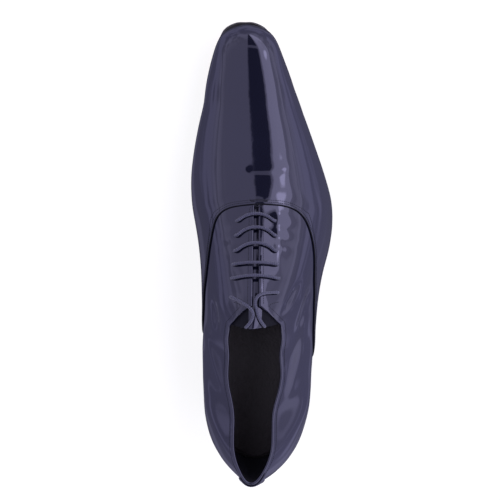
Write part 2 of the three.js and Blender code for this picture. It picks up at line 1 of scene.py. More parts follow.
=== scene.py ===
# %% [markdown]
# # A black patent leather oxford
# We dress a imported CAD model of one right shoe. The CAD solids carry the true form of the
# last; this lesson rebuilds their skins finely enough for a mirror gloss, runs the lace
# through its eyelets, and adds stitches, creases, sole leather and light.

import math

import bpy
import numpy as np
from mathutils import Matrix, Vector
from mathutils.bvhtree import BVHTree
from mathutils.kdtree import KDTree


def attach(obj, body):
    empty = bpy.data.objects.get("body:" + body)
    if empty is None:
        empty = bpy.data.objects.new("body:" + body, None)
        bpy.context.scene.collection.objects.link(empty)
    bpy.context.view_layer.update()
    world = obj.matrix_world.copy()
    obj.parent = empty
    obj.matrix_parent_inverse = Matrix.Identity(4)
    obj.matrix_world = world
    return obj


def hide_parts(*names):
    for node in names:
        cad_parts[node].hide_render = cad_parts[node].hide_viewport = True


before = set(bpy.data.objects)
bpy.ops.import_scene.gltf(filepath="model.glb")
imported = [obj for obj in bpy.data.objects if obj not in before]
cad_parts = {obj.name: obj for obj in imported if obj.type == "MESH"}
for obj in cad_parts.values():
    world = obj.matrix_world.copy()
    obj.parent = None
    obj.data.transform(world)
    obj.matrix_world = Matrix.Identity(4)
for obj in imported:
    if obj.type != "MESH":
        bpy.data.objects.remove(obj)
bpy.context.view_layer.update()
print("CAD nodes:", sorted(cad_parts))

# %% [markdown]
# The shapes below are worked out in millimetres from the heel of the sole, as a shoemaker
# measures, and moved into the model's frame at the end. Repeating the last's own sizes keeps
# every new skin on its solid.

# %% Sizes of the shoe, in millimetres
LENGTH = 312
BALL_WIDTH = 97.5
INSTEP_RISE = 87
HEEL_HEIGHT = 26
HEEL_PITCH = 2.5
TOE_SPRING = 9.5
SOLE_THICKNESS = 4.6
TOP_PIECE = 6.2
WALL = 2
VAMP_STEP = 1
SOLE_MARGIN = 4
HEEL_INSET = 0.6
HEEL_TAPER = 1.8
INSOLE_THICKNESS = 2.4
TONGUE_THICKNESS = 1.6
TONGUE_DROP = 0.7
LACE_DIAMETER = 2.1
GAP = 0.3
LACE_LIFT = WALL / 2 + GAP + LACE_DIAMETER / 2
SEAT_FRONT = 0.29
TREAD_BACK = 0.565
TREAD_FRONT = 0.66
ORIGIN = np.array([10.0006, 153.3761, 0])
MILLIMETRE = 0.001


def to_frame(points):
    """Shoemaker's millimetres to the model's metres."""
    return (np.asarray(points, float) - ORIGIN) * MILLIMETRE


def mm(percent):
    """A share of the sole's length in millimetres."""
    return percent / 100 * LENGTH


def wide(percent):
    """A share of the width over the ball in millimetres."""
    return percent / 100 * BALL_WIDTH


# %% [markdown]
# A last has no flat faces, so it is described by sections across the foot. Around the heel
# and the toe the sections tilt until they lie flat, like the ribs of a fan, and that lets one
# sheet wrap the whole foot with no seam at the back.

# %% Sections of the last
SECTION_COLUMNS = (
    "at", "tilt", "rise", "med", "lat", "med_belly", "lat_belly", "crest", "hip", "full", "cap",
)
SECTIONS = [
    (16.1, -90, 55.2, -28.3, 37.4, -28.6, 36.2, 4.2, 0.3, 0.79, 0.7),
    (16.8, -72, 66.0, -28.2, 37.6, -30.3, 39.6, 3.6, 0.3, 0.76, 0.71),
    (17.4, -52, 82.6, -28.0, 37.8, -30.8, 41.2, 2.6, 0.28, 0.56, 0.8),
    (18.4, -34, 104.0, -27.6, 37.9, -31.0, 42.2, 0.4, 0.25, 0.29, 0.84),
    (19.7, -16, 92, -26.8, 37.9, -31.3, 43.0, 1.3, 0.27, 0.36, 0.7),
    (21.9, 0, 86, -25.6, 38.0, -31.8, 43.7, 2.0, 0.27, 0.48, 0.68),
    (27.7, 0, 88, -21.0, 38.2, -31.9, 45.0, 1.7, 0.28, 0.445, 0.69),
    (33.5, 0, 92, -17.0, 39.4, -31.0, 46.2, 2.0, 0.28, 0.43, 0.8),
    (38.7, 0, 95, -16.0, 42.4, -31.0, 48.1, 3.2, 0.28, 0.5, 0.85),
    (43.9, 0, 92.6, -18.6, 49.4, -31.6, 51.4, 4.2, 0.28, 0.54, 0.86),
    (49.0, 0, 87.1, -25.0, 55.6, -33.2, 55.8, 4.6, 0.29, 0.55, 0.88),
    (54.2, 0, 80.5, -33.0, 58.2, -35.6, 58.4, 5.0, 0.3, 0.56, 0.89),
    (59.4, 0, 73.3, -36.9, 57.6, -38.0, 57.8, 5.3, 0.31, 0.57, 0.89),
    (65.2, 0, 63.8, -37.4, 52.8, -38.4, 53.2, 5.4, 0.32, 0.58, 0.89),
    (71.0, 0, 54.9, -35.4, 46.6, -36.3, 47.2, 5.2, 0.33, 0.59, 0.89),
    (76.8, 0, 47.4, -31.8, 40.3, -32.8, 40.8, 4.8, 0.34, 0.6, 0.89),
    (81.6, 0, 41.9, -28.4, 34.8, -29.2, 35.2, 3.8, 0.35, 0.61, 0.89),
    (84.5, 14, 38.6, -27.2, 31.2, -27.6, 31.3, 3.0, 0.35, 0.62, 0.89),
    (86.1, 32, 36.9, -26.3, 29.3, -26.2, 28.7, 2.2, 0.35, 0.62, 0.89),
    (87.1, 51, 37.3, -25.7, 28.1, -24.8, 26.4, 1.3, 0.36, 0.66, 0.88),
    (87.7, 70, 38.6, -25.4, 27.4, -23.6, 24.3, 0.3, 0.38, 0.68, 0.86),
    (88.1, 90, 39.0, -25.2, 27.0, -22.3, 22.5, -0.6, 0.42, 0.7, 0.83),
]
LEAST_KNOT = 1e-3


def sole_under(y):
    """Height of the outsole's underside above the floor."""
    seat, tread, spring = SEAT_FRONT * LENGTH, TREAD_BACK * LENGTH, TREAD_FRONT * LENGTH
    slope = -HEEL_PITCH / seat
    t = np.clip((y - seat) / (tread - seat), 0, 1)
    arch = (HEEL_HEIGHT - HEEL_PITCH) * (2 * t**3 - 3 * t**2 + 1)
    arch = arch + slope * (tread - seat) * t * (1 - t) ** 2
    toe = TOE_SPRING * (np.maximum(y - spring, 0) / (LENGTH - spring)) ** 2
    return np.where(y <= seat, HEEL_HEIGHT + slope * y, arch) + toe


def sole_top(y):
    """Height of the outsole's upper face above the floor."""
    return sole_under(y) + SOLE_THICKNESS


def catmull(points, places, closed=False):
    """A centripetal Catmull-Rom curve, read at places counted in points."""
    p = np.asarray(points, float)
    if closed:
        p = np.concatenate([p[-1:], p, p[:2]])
    else:
        p = np.concatenate([2 * p[:1] - p[1:2], p, 2 * p[-1:] - p[-2:-1]])
    steps = np.linalg.norm(np.diff(p, axis=0), axis=-1, keepdims=True)
    knot = np.maximum(steps**0.5, LEAST_KNOT)
    i = np.minimum(np.asarray(places).astype(int), len(p) - 4)
    w = (places - i).reshape(-1, *[1] * (p.ndim - 1))
    a, b, c, d = p[i], p[i + 1], p[i + 2], p[i + 3]
    before, here, after = knot[i], knot[i + 1], knot[i + 2]
    start = ((b - a) / before - (c - a) / (before + here) + (c - b) / here) * here
    end = ((c - b) / here - (d - b) / (here + after) + (d - c) / after) * here
    cubic = 2 * (b - c) + start + end
    return b + start * w + (3 * (c - b) - 2 * start - end) * w**2 + cubic * w**3


def evenly(line, count):
    """The same line with its points at equal distances."""
    steps = np.linalg.norm(np.diff(line, axis=0), axis=1)
    run = np.concatenate([[0], np.cumsum(steps)])
    at = np.linspace(0, run[-1], count)
    return np.stack([np.interp(at, run, line[:, k]) for k in range(line.shape[1])], axis=1)


def section(row):
    """Seven points of a section: sole edge, belly, shoulder, crest, and back down."""
    s = dict(zip(SECTION_COLUMNS, row))
    tilt = math.radians(s["tilt"])

    def place(x, height):
        up = s["rise"] / 100 * INSTEP_RISE * height
        y = mm(s["at"]) + up * math.sin(tilt)
        return [wide(x), y, float(sole_top(y)) + up * math.cos(tilt)]

    def shoulder(belly):
        return s["crest"] + s["full"] * (belly - s["crest"])

    return [
        place(s["med"], 0),
        place(s["med_belly"], s["hip"]),
        place(shoulder(s["med_belly"]), s["cap"]),
        place(s["crest"], 1),
        place(shoulder(s["lat_belly"]), s["cap"]),
        place(s["lat_belly"], s["hip"]),
        place(s["lat"], 0),
    ]


print(len(SECTIONS), "sections")

# %% [markdown]
# Patent leather shows every flat spot, so the skin needs a fine, even grid, and the small
# waves left by the listed sections are ironed out with Taubin smoothing: a step in, a step out,
# which calms ripples without shrinking the form.

# %% The last as one fine grid
ROWS_ALONG = 210
COLUMNS_ACROSS = 150
DENSE = 40
IRONING_ROUNDS = 60
IRON_IN = 0.5
IRON_OUT = -0.51


def iron(grid, rounds):
    """Taubin smoothing of a grid whose border stays where it is."""
    g = grid.copy()
    for _ in range(rounds):
        for weight in (IRON_IN, IRON_OUT):
            mean = (g[:-2, 1:-1] + g[2:, 1:-1] + g[1:-1, :-2] + g[1:-1, 2:]) / 4
            g[1:-1, 1:-1] += weight * (mean - g[1:-1, 1:-1])
    return g


def dense_places(count):
    """Places along a curve through count points, DENSE of them from one point to the next."""
    return np.linspace(0, count - 1, (count - 1) * DENSE + 1)


def smooth_line(points):
    return catmull(points, dense_places(len(points)))


def last_grid():
    rows = np.array([evenly(smooth_line(section(row)), COLUMNS_ACROSS + 1) for row in SECTIONS])
    places = dense_places(len(SECTIONS))
    steps = np.linalg.norm(np.diff(catmull(rows, places), axis=0), axis=-1).mean(axis=1)
    run = np.concatenate([[0], np.cumsum(steps)])
    even = np.interp(np.linspace(0, run[-1], ROWS_ALONG + 1), run, places)
    return iron(catmull(rows, even), IRONING_ROUNDS)


def grid_normals(grid):
    """Unit normals of a grid, turned level along its border."""
    across = np.gradient(grid, axis=1)
    along = np.gradient(grid, axis=0)
    normal = np.cross(across, along)
    for edge in (np.s_[0], np.s_[-1], np.s_[:, 0], np.s_[:, -1]):
        normal[edge][..., 2] = 0
    return normal / np.linalg.norm(normal, axis=-1, keepdims=True)


last = last_grid()
print("last:", last.shape, "from", last.min((0, 1)).round(1), "to", last.max((0, 1)).round(1))

# %% [markdown]
# Worn or lasted leather is never a perfect surface. The main creases and hollows of the shoe
# are put in one by one as soft troughs, each along a short line seen from above, with a width
# and a depth in millimetres. A negative depth raises a ridge.

# %% Creases and hollows
CREASE_COLUMNS = ("x", "y", "to_x", "to_y", "width", "depth")
CREASES = [
    (30.0, 129.0, 26.5, 123.5, 2.0, 1.5),
    (39.0, 122.0, 35.0, 109.0, 2.0, 1.1),
    (35.5, 124.0, 31.0, 112.0, 2.6, -0.3),
    (39.5, 106.0, 28.0, 62.0, 3.6, -0.5),
    (33.5, 100.0, 25.5, 66.0, 3.6, 0.5),
    (-22.3, 118.5, -21.3, 111.0, 2.0, 1.2),
    (-26.5, 124.0, -25.0, 104.0, 3.0, -0.3),
    (-29.5, 98.0, -19.0, 66.0, 2.6, -0.4),
    (-32.0, 88.0, -25.0, 62.0, 3.6, 0.4),
    (-12.0, 190.0, -26.0, 183.0, 5.0, 0.35),
    (24.0, 192.0, 40.0, 182.0, 5.0, 0.35),
    (4.0, 210.0, 20.0, 210.0, 3.2, 0.5),
    (8.6, 184.0, 8.0, 130.0, 5.0, -0.6),
    (2.6, 184.0, 1.4, 130.0, 5.0, -0.6),
    (20.0, 179.5, 25.0, 178.5, 3.0, -0.4),
    (20.0, 169.5, 25.0, 168.5, 3.0, -0.45),
    (20.0, 160.0, 25.0, 159.0, 3.0, -0.4),
    (-8.0, 170.0, -13.0, 169.0, 3.0, -0.3),
    (-8.0, 160.5, -13.0, 159.5, 3.0, -0.3),
    (20.5, 178.0, 20.5, 150.0, 2.2, -0.3),
    (-9.5, 178.0, -10.5, 150.0, 2.2, -0.25),
]
CREASE_FADE = 6
LOWEST_FACING = 0.05
FACING_RAMP = 4


def creased(grid, normals):
    """The grid with every trough pressed in along the surface's normals."""
    x, y = grid[..., 0], grid[..., 1]
    push = np.zeros(x.shape)
    for row in CREASES:
        c = dict(zip(CREASE_COLUMNS, row))
        run = np.array([c["to_x"] - c["x"], c["to_y"] - c["y"]])
        length = np.linalg.norm(run)
        run = run / length
        along = (x - c["x"]) * run[0] + (y - c["y"]) * run[1]
        beside = (x - c["x"]) * run[1] - (y - c["y"]) * run[0]
        over = np.maximum(np.maximum(-along, along - length), 0)
        push -= c["depth"] * np.exp(-((beside / c["width"]) ** 2) - (over / CREASE_FADE) ** 2)
    facing = np.clip((normals[..., 2] - LOWEST_FACING) * FACING_RAMP, 0, 1)
    return grid + normals * (push * facing)[..., None]


last = creased(last, grid_normals(last))
last_normals = grid_normals(last)
print(len(CREASES), "creases pressed in")

# %% [markdown]
# The camera comes first among the things of the scene, because a lace is only allowed where
# the picture shows it. The photograph looks straight down from about a metre, a little from
# the toe's side.

# %% Camera at the photograph's angle
CAMERA_AIM = Vector((-0.008, -0.001, 0.030))
CAMERA_DISTANCE = 1.1
CAMERA_TILT = 6
CAMERA_ROLL = -0.33
CAMERA_LENS = 112.5

camera = bpy.data.objects.new("photo_camera", bpy.data.cameras.new("photo_camera"))
bpy.context.scene.collection.objects.link(camera)
camera.data.lens = CAMERA_LENS
tilt = math.radians(CAMERA_TILT)
camera.location = CAMERA_AIM + CAMERA_DISTANCE * Vector((0, math.sin(tilt), math.cos(tilt)))
camera.rotation_euler = (-tilt, 0, math.radians(CAMERA_ROLL))
bpy.context.scene.camera = camera
print("camera at", tuple(round(v, 3) for v in camera.location))

# %% [markdown]
# Everything that lies on the upper is placed by asking the last for its height and its slope.
# A ray dropped from above finds the skin, and the smooth normal there comes from the nearest
# point of the grid.

# %% Finding the surface
HIGH_ABOVE = 300
LEAST_GAP = 1e-3
THROAT = {"at": 59.9, "end": 36, "x": 5.8, "end_x": 4.6, "width": 2.6, "end_width": 4}


def grid_triangles(rows, columns):
    """Two triangles for each cell of a grid of points, facing out."""
    cell = np.arange((rows - 1) * columns).reshape(rows - 1, columns)[:, :-1].ravel()
    a, b, c, d = cell, cell + 1, cell + columns + 1, cell + columns
    return np.concatenate([np.stack([a, b, c], 1), np.stack([a, c, d], 1)])


last_points = last.reshape(-1, 3)
last_flat_normals = last_normals.reshape(-1, 3)
last_faces = grid_triangles(*last.shape[:2])
last_tree = BVHTree.FromPolygons(last_points.tolist(), last_faces.tolist())


def settle(hit, face):
    """A hit on the last with its smooth normal, weighted from the face's corners."""
    corners = last_faces[face]
    gap = np.linalg.norm(last_points[corners] - np.array(hit), axis=1) + LEAST_GAP
    normal = (last_flat_normals[corners] / gap[:, None]).sum(0)
    return np.array(hit), normal / np.linalg.norm(normal)


def on_instep(x, y, distance):
    """A point at a distance from the middle of the wall, over a place on the instep."""
    hit, _, face, _ = last_tree.ray_cast((x, y, HIGH_ABOVE), (0, 0, -1))
    point, normal = settle(hit, face)
    return point + normal * distance


def throat_x(y):
    """The middle of the slit between the facings."""
    t = (y - mm(THROAT["at"])) / (mm(THROAT["end"]) - mm(THROAT["at"]))
    return THROAT["x"] + (THROAT["end_x"] - THROAT["x"]) * t


print("slit starts at", on_instep(THROAT["x"], mm(THROAT["at"]), 0).round(1))

# %% [markdown]
# A round lace is a tube along a line. The rings are turned along the line without twisting,
# the ends are rounded off, and a UV map counts the length and the way round, so that the
# braid can follow the cord.

# %% A tube for the lace
TUBE_SIDES = 14
TUBE_STEP = 0.5
FEWEST_STEPS = 4
TIP_ANGLES = (28, 55, 80)
TIP_RINGS = [(math.sin(math.radians(a)), math.cos(math.radians(a))) for a in TIP_ANGLES]
RING_START = (0.3, 0.2, 1.0)


def new_piece(name, points, faces, body="root"):
    """A mesh object at the origin from points in millimetres, riding on the shoe."""
    mesh = bpy.data.meshes.new(name)
    mesh.from_pydata(to_frame(points).tolist(), [], [list(map(int, f)) for f in faces])
    mesh.shade_smooth()
    piece = bpy.data.objects.new(name, mesh)
    bpy.context.scene.collection.objects.link(piece)
    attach(piece, body)
    return piece


def dense_line(points):
    """A smooth line through points with an even, small step."""
    line = smooth_line(points)
    length = np.linalg.norm(np.diff(line, axis=0), axis=1).sum()
    return evenly(line, max(int(length / TUBE_STEP), FEWEST_STEPS) + 1)


def tube_rings(line, radius):
    """Rings of points around a line, with rounded ends."""
    tangents = np.gradient(line, axis=0)
    tangents /= np.linalg.norm(tangents, axis=1, keepdims=True)
    side = np.cross(tangents[0], RING_START)
    rings, run = [], 0.0
    angles = np.linspace(0, 2 * math.pi, TUBE_SIDES, endpoint=False)
    for i, (point, tangent) in enumerate(zip(line, tangents)):
        side = side - tangent * (side @ tangent)
        side /= np.linalg.norm(side)
        up = np.cross(tangent, side)
        circle = np.cos(angles)[:, None] * side + np.sin(angles)[:, None] * up
        run += np.linalg.norm(point - line[i - 1]) if i else 0
        caps = [(0, 1.0)]
        if i == 0:
            caps = [(-shift, share) for shift, share in reversed(TIP_RINGS)] + caps
        elif i == len(line) - 1:
            caps += TIP_RINGS
        for shift, share in caps:
            centre = point + tangent * radius * shift
            rings.append((centre + circle * radius * share, run + radius * shift))
    return rings


def tube_mesh(lines, radius):
    """Points, faces and UVs of tubes along several lines."""
    points, faces, uvs = [], [], []
    for line in lines:
        rings = tube_rings(line, radius)
        first = len(points)
        for ring, _ in rings:
            points.extend(ring)
        for r in range(len(rings) - 1):
            for s in range(TUBE_SIDES):
                t = (s + 1) % TUBE_SIDES
                a, b = first + r * TUBE_SIDES, first + (r + 1) * TUBE_SIDES
                faces.append([a + s, a + t, b + t, b + s])
                low, high = rings[r][1], rings[r + 1][1]
                uvs.append([(low, s), (low, s + 1), (high, s + 1), (high, s)])
        end = first + (len(rings) - 1) * TUBE_SIDES
        faces.append(list(range(first, first + TUBE_SIDES))[::-1])
        faces.append(list(range(end, end + TUBE_SIDES)))
        uvs += [[(0, 0)] * TUBE_SIDES] * 2
    return np.array(points), faces, uvs


def tube_piece(name, lines, radius):
    points, faces, uvs = tube_mesh(lines, radius)
    piece = new_piece(name, points, faces)
    layer = piece.data.uv_layers.new(name="cord")
    flat = [(u * MILLIMETRE, v / TUBE_SIDES) for face in uvs for u, v in face]
    layer.data.foreach_set("uv", np.array(flat, np.float32).ravel())
    return piece


# %% [markdown]
# The lace itself: five bars cross the facings and dive into punched eyelets, and the last
# pair comes up out of the top eyelets, over the facings, and lies down on the tongue.

# %% Lace routes
BAR_COLUMNS = ("at", "span", "bow")
LACE_BARS = [
    (56.5, 23.4, 4.6),
    (53.4, 24.2, 5.4),
    (50.2, 24.8, 5),
    (47.4, 26, 1.2),
    (44.6, 26.6, 2),
]
BAR_PLACES = (-1, -0.67, -0.33, 0, 0.33, 0.67, 1)
LACE_END_LEFT = [
    (-9.8, 127.2, 2.4), (-6.2, 126, 2.4), (-2.6, 124.2, 2.4), (0.9, 121.9, 2.3),
    (3, 119, 0.9), (3.1, 116.4, -0.2), (2, 113.6, -0.3), (0.3, 111.2, -0.3), (-1.8, 108.9, -0.3),
]
LACE_END_RIGHT = [
    (18.3, 130.2, 2.4), (13, 130.3, 2.4), (8.9, 129.8, 2.5), (5.9, 128.1, 2.2), (4.7, 125.4, 0.8),
    (4.9, 122.4, -0.2), (5.9, 118.6, -0.3), (7.2, 115, -0.3), (9.2, 111.6, -0.3), (11, 109, -0.3),
]
EYELET_DEPTH = 1.6
EYELET_LEAN = 0.9


def bar_line(row):
    """From inside one eyelet, up, across the facings and into the other."""
    bar = dict(zip(BAR_COLUMNS, row))
    y = mm(bar["at"])
    line = []
    for s in BAR_PLACES:
        x = throat_x(y) + s * bar["span"] / 2
        line.append(on_instep(x, y + bar["bow"] * (1 - s * s), LACE_LIFT))
    ends = []
    for x, away in ((line[0][0], -EYELET_LEAN), (line[-1][0], EYELET_LEAN)):
        ends.append([on_instep(x + away, y, lift) for lift in (LACE_LIFT / 2, -EYELET_DEPTH)])
    return dense_line([ends[0][1], ends[0][0], *line, *ends[1]])


def end_line(places):
    """A free end, from inside its top eyelet to its tip on the tongue. Each place is an x, a y
    and a lift off the middle of the wall."""
    x, y, _ = places[0]
    lean = math.copysign(EYELET_LEAN, x - places[1][0])
    start = [on_instep(x + lean, y, lift) for lift in (-EYELET_DEPTH, LACE_LIFT / 2)]
    return dense_line(start + [on_instep(*place) for place in places])


bar_lines = [bar_line(row) for row in LACE_BARS]
end_lines = {"left": end_line(LACE_END_LEFT), "right": end_line(LACE_END_RIGHT)}
lace_bars = tube_piece("lace_crossings", bar_lines, LACE_DIAMETER / 2)
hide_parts(*[f"lace_bar_{i + 1}" for i in range(len(LACE_BARS))])
lace_ends = []
for side, line in end_lines.items():
    piece = tube_piece(f"lace_{side}_end", [line], LACE_DIAMETER / 2)
    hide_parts(f"lace_end_{side}")
    lace_ends.append(piece)

# %% [markdown]
# A leather edge is neither a knife nor a box: it is folded or skived and catches a thin line
# of light. So every leather part is made the same way. A sheet is clipped along a line, both
# its faces are set off from the middle, and a half round is rolled along its border.

# %% Clipping a sheet along a line
SNAP = 0.3
HALVINGS = 14


def crossing(points, pairs, field):
    """Where the field is zero on each pair of points, found by halving."""
    a, b = points[pairs[:, 0]], points[pairs[:, 1]]
    low, high = np.zeros(len(pairs)), np.ones(len(pairs))
    sign = np.sign(field(a))
    for _ in range(HALVINGS):
        middle = (low + high) / 2
        same = np.sign(field(a + (b - a) * middle[:, None])) == sign
        low, high = np.where(same, middle, low), np.where(same, high, middle)
    return (low + high) / 2


def face_sides(faces):
    return np.concatenate([faces[:, [0, 1]], faces[:, [1, 2]], faces[:, [2, 0]]])


def edges_of(faces):
    return np.unique(np.sort(face_sides(faces), axis=1), axis=0)


def clip(points, normals, faces, field):
    """Keeps the part of a sheet where the field is below zero."""
    points, normals = points.copy(), normals.copy()
    value = field(points)
    pairs = edges_of(faces)
    pairs = pairs[(value[pairs[:, 0]] < 0) != (value[pairs[:, 1]] < 0)]
    share = crossing(points, pairs, field)
    near = {}
    for (a, b), t in zip(pairs.tolist(), share.tolist()):
        for index, gap in ((a, t), (b, 1 - t)):
            if gap < SNAP and gap < near.get(index, (1,))[0]:
                near[index] = (gap, b if index == a else a)
    moved = {i: points[i] + (points[j] - points[i]) * gap for i, (gap, j) in near.items()}
    for i, place in moved.items():
        points[i] = place
    value = field(points)
    value[list(moved)] = 0
    pairs = pairs[(value[pairs[:, 0]] * value[pairs[:, 1]]) < 0]
    share = crossing(points, pairs, field)
    cut, extra, extra_normals = {}, [], []
    for (a, b), t in zip(pairs.tolist(), share.tolist()):
        cut[(a, b)] = len(points) + len(extra)
        extra.append(points[a] + (points[b] - points[a]) * t)
        blend = normals[a] + (normals[b] - normals[a]) * t
        extra_normals.append(blend / np.linalg.norm(blend))
    corner = value[faces]
    whole = (corner <= 0).all(1) & (corner < 0).any(1)
    mixed = faces[(corner < 0).any(1) & (corner > 0).any(1)]
    kept = faces[whole].tolist()
    for face in mixed.tolist():
        ring = []
        for k in range(3):
            a, b = face[k], face[(k + 1) % 3]
            if value[a] <= 0:
                ring.append(a)
            if value[a] * value[b] < 0:
                ring.append(cut[(min(a, b), max(a, b))])
        kept += [[ring[0], ring[k], ring[k + 1]] for k in range(1, len(ring) - 1)]
    if extra:
        points = np.concatenate([points, extra])
        normals = np.concatenate([normals, extra_normals])
    used, kept = np.unique(np.array(kept), return_inverse=True)
    return points[used], normals[used], kept.reshape(-1, 3)


print("sheets are clipped to within 1 part in", 2**HALVINGS, "of a cell")


# %% [markdown]
# Rolling the border: the outer face, a half round of small strips, and the inner face make
# one closed skin. Where the leather is tucked under the sole the border stays flat.

# %% A leather sheet with rolled edges
ROLL_STEPS = 6
TINY = 1e-9


def border_edges(faces):
    """The edges that only one face uses, in that face's direction."""
    seen = {tuple(p) for p in face_sides(faces).tolist()}
    return np.array([p for p in seen if (p[1], p[0]) not in seen])


def outwards_at_border(points, normals, border):
    """For every border point the direction that leaves the sheet along its surface."""
    out = np.zeros_like(points)
    run = points[border[:, 1]] - points[border[:, 0]]
    for k in (0, 1):
        np.add.at(out, border[:, k], np.cross(run, normals[border[:, k]]))
    return out / np.maximum(np.linalg.norm(out, axis=1, keepdims=True), TINY)


def thick_sheet(points, normals, faces, inner, outer, rolled=None):
    """A closed skin between two distances from a sheet. rolled is 1 where the border is
    rolled and 0 where it is flat. Returns points, faces and, for each face, 1 if inside."""
    border = border_edges(faces)
    ring = np.unique(border)
    order = {v: k for k, v in enumerate(ring.tolist())}
    out = outwards_at_border(points, normals, border)[ring]
    if rolled is not None:
        out = out * rolled[ring][:, None]
    middle, half = (inner + outer) / 2, (outer - inner) / 2
    count = len(points)
    layers = [points + normals * outer, points + normals * inner]
    ids = [ring]
    for step in range(1, ROLL_STEPS):
        turn = math.pi * step / ROLL_STEPS
        lift = middle + half * math.cos(turn)
        layers.append(points[ring] + normals[ring] * lift + out * (half * math.sin(turn)))
        ids.append(np.arange(len(ring)) + count * 2 + (step - 1) * len(ring))
    ids.append(ring + count)
    made = faces.tolist() + (faces[:, ::-1] + count).tolist()
    inside = [0] * len(faces) + [1] * len(faces)
    for step in range(ROLL_STEPS):
        for a, b in border.tolist():
            i, j = order[a], order[b]
            made.append([ids[step][j], ids[step][i], ids[step + 1][i], ids[step + 1][j]])
            inside.append(0 if step < ROLL_STEPS - 1 else 1)
    return np.concatenate(layers), made, inside


print("borders are rolled in", ROLL_STEPS, "strips")


# %% [markdown]
# The lines that the shoemaker cuts: the collar's topline, the slit between the facings and
# the vamp's edge. Each is a field over the surface, below zero on the leather that stays.

# %% Cutting lines of the upper
TOPLINE = [
    (-4, 97), (1, 96.5), (4.5, 93.4), (9, 88.8), (13, 84.6), (17.5, 81.4), (22, 79.6),
    (26, 79.6), (30, 82.4), (32.7, 87.2), (34.9, 91.8), (36.2, 97), (37.5, 100.7),
    (38.7, 102.9), (39.7, 104.2), (40, 130),
]
VAMP_EDGE_COLUMNS = ("med", "lat", "height")
VAMP_EDGE = [
    (60.3, 60.3, 90), (60.3, 60.3, 71), (59.4, 59.6, 66), (56.6, 57, 61.5), (51.4, 52, 58.6),
    (44, 44, 56.6), (37, 36, 54), (32.4, 28.2, 49.5), (30.2, 25.2, 43), (29.8, 24.4, 34),
    (29.8, 24.4, 0),
]
FAR_OUTSIDE = -10.0
EDGE_ROLL = WALL / 2
SLIT_REACH = 20
TUCK_HEIGHT = 1.0


def side_line(points):
    line = smooth_line(points)
    return line[np.argsort(line[:, 0])]


topline = side_line([(mm(at), height) for at, height in TOPLINE])
vamp_rows = [dict(zip(VAMP_EDGE_COLUMNS, row)) for row in VAMP_EDGE]
vamp_lines = {
    side: side_line([(row["height"], mm(row[side])) for row in vamp_rows]) for side in ("med", "lat")
}


def over_topline(p):
    """Above zero over the collar's edge, which is rolled on by half the wall."""
    return p[:, 2] + EDGE_ROLL - np.interp(p[:, 1], topline[:, 0], topline[:, 1])


def in_slit(p):
    """Above zero in the slit between the facings."""
    front, back = mm(THROAT["at"]), mm(THROAT["end"])
    t = np.clip((p[:, 1] - front) / (back - front), 0, 1)
    middle = THROAT["x"] + (THROAT["end_x"] - THROAT["x"]) * t
    half = (THROAT["width"] + (THROAT["end_width"] - THROAT["width"]) * t) / 2
    ahead = np.maximum(p[:, 1] - (front - THROAT["width"] / 2), 0)
    inside = half + EDGE_ROLL - np.hypot(p[:, 0] - middle, ahead)
    return np.where(p[:, 1] > back - SLIT_REACH, inside, FAR_OUTSIDE)


def behind_vamp(p):
    """Above zero behind the vamp's edge, on either side of the foot."""
    med = np.interp(p[:, 2], vamp_lines["med"][:, 0], vamp_lines["med"][:, 1])
    lat = np.interp(p[:, 2], vamp_lines["lat"][:, 0], vamp_lines["lat"][:, 1])
    return np.where(p[:, 0] < THROAT["x"], med, lat) - p[:, 1]


last_clear = last_points.copy()
edge_mask = np.zeros(last.shape[:2], bool)
edge_mask[[0, -1], :] = edge_mask[:, [0, -1]] = True
edge_mask = edge_mask.ravel()
last_clear[edge_mask, 2] = sole_top(last_clear[edge_mask, 1]) + GAP


def not_tucked(points):
    """1 away from the border that is tucked under at the sole."""
    return np.where(points[:, 2] > sole_top(points[:, 1]) + GAP + TUCK_HEIGHT, 1.0, 0.0)


print("topline from", topline[0].round(1), "to", topline[-1].round(1))


# %% [markdown]
# The quarters and their lining are one wall from heel to toe, open at the collar and along
# the slit. The vamp is laid over them in front, a millimetre thicker, as in the real shoe.

# %% Quarters and vamp
whole = (last_clear, last_flat_normals, last_faces)
collared = clip(*whole, over_topline)
wall_sheet = clip(*collared, in_slit)
points, faces, inside = thick_sheet(
    *wall_sheet, -WALL / 2, WALL / 2, rolled=not_tucked(wall_sheet[0])
)
quarters = new_piece("quarters", points, faces)
quarters.data.polygons.foreach_set("material_index", np.array(inside, np.int32))
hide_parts("upper")
print("quarters:", len(faces), "faces")

VAMP_CLEAR = 0.03
vamp_sheet = clip(*whole, behind_vamp)
points, faces, _ = thick_sheet(
    *vamp_sheet, WALL / 2 + VAMP_CLEAR, WALL / 2 + VAMP_STEP, rolled=not_tucked(vamp_sheet[0])
)
vamp = new_piece("vamp", points, faces)
# The rim takes the second slot, painted dark as the shadow under the vamp's step.
rim = np.arange(len(faces)) >= 2 * len(vamp_sheet[2])
vamp.data.polygons.foreach_set("material_index", rim.astype(np.int32))
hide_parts("upper")
print("vamp:", len(faces), "faces")

# %% [markdown]
# The tongue is a plain sheet under the facings that stands out above them. The heel tab is a
# thin strip over the back seam.

# %% Tongue and heel tab
TONGUE = {"front": 61.4, "back": 34.5, "width": 29, "end_width": 36}
TONGUE_ROWS = 70
TONGUE_COLUMNS = 40
TONGUE_IRONING = 20
HEEL_TAB_AT = 2
HEEL_TAB = {"width": 15, "low_width": 9, "top": 94.6, "low": 60, "thickness": 0.9}
TAB_BEHIND = 30


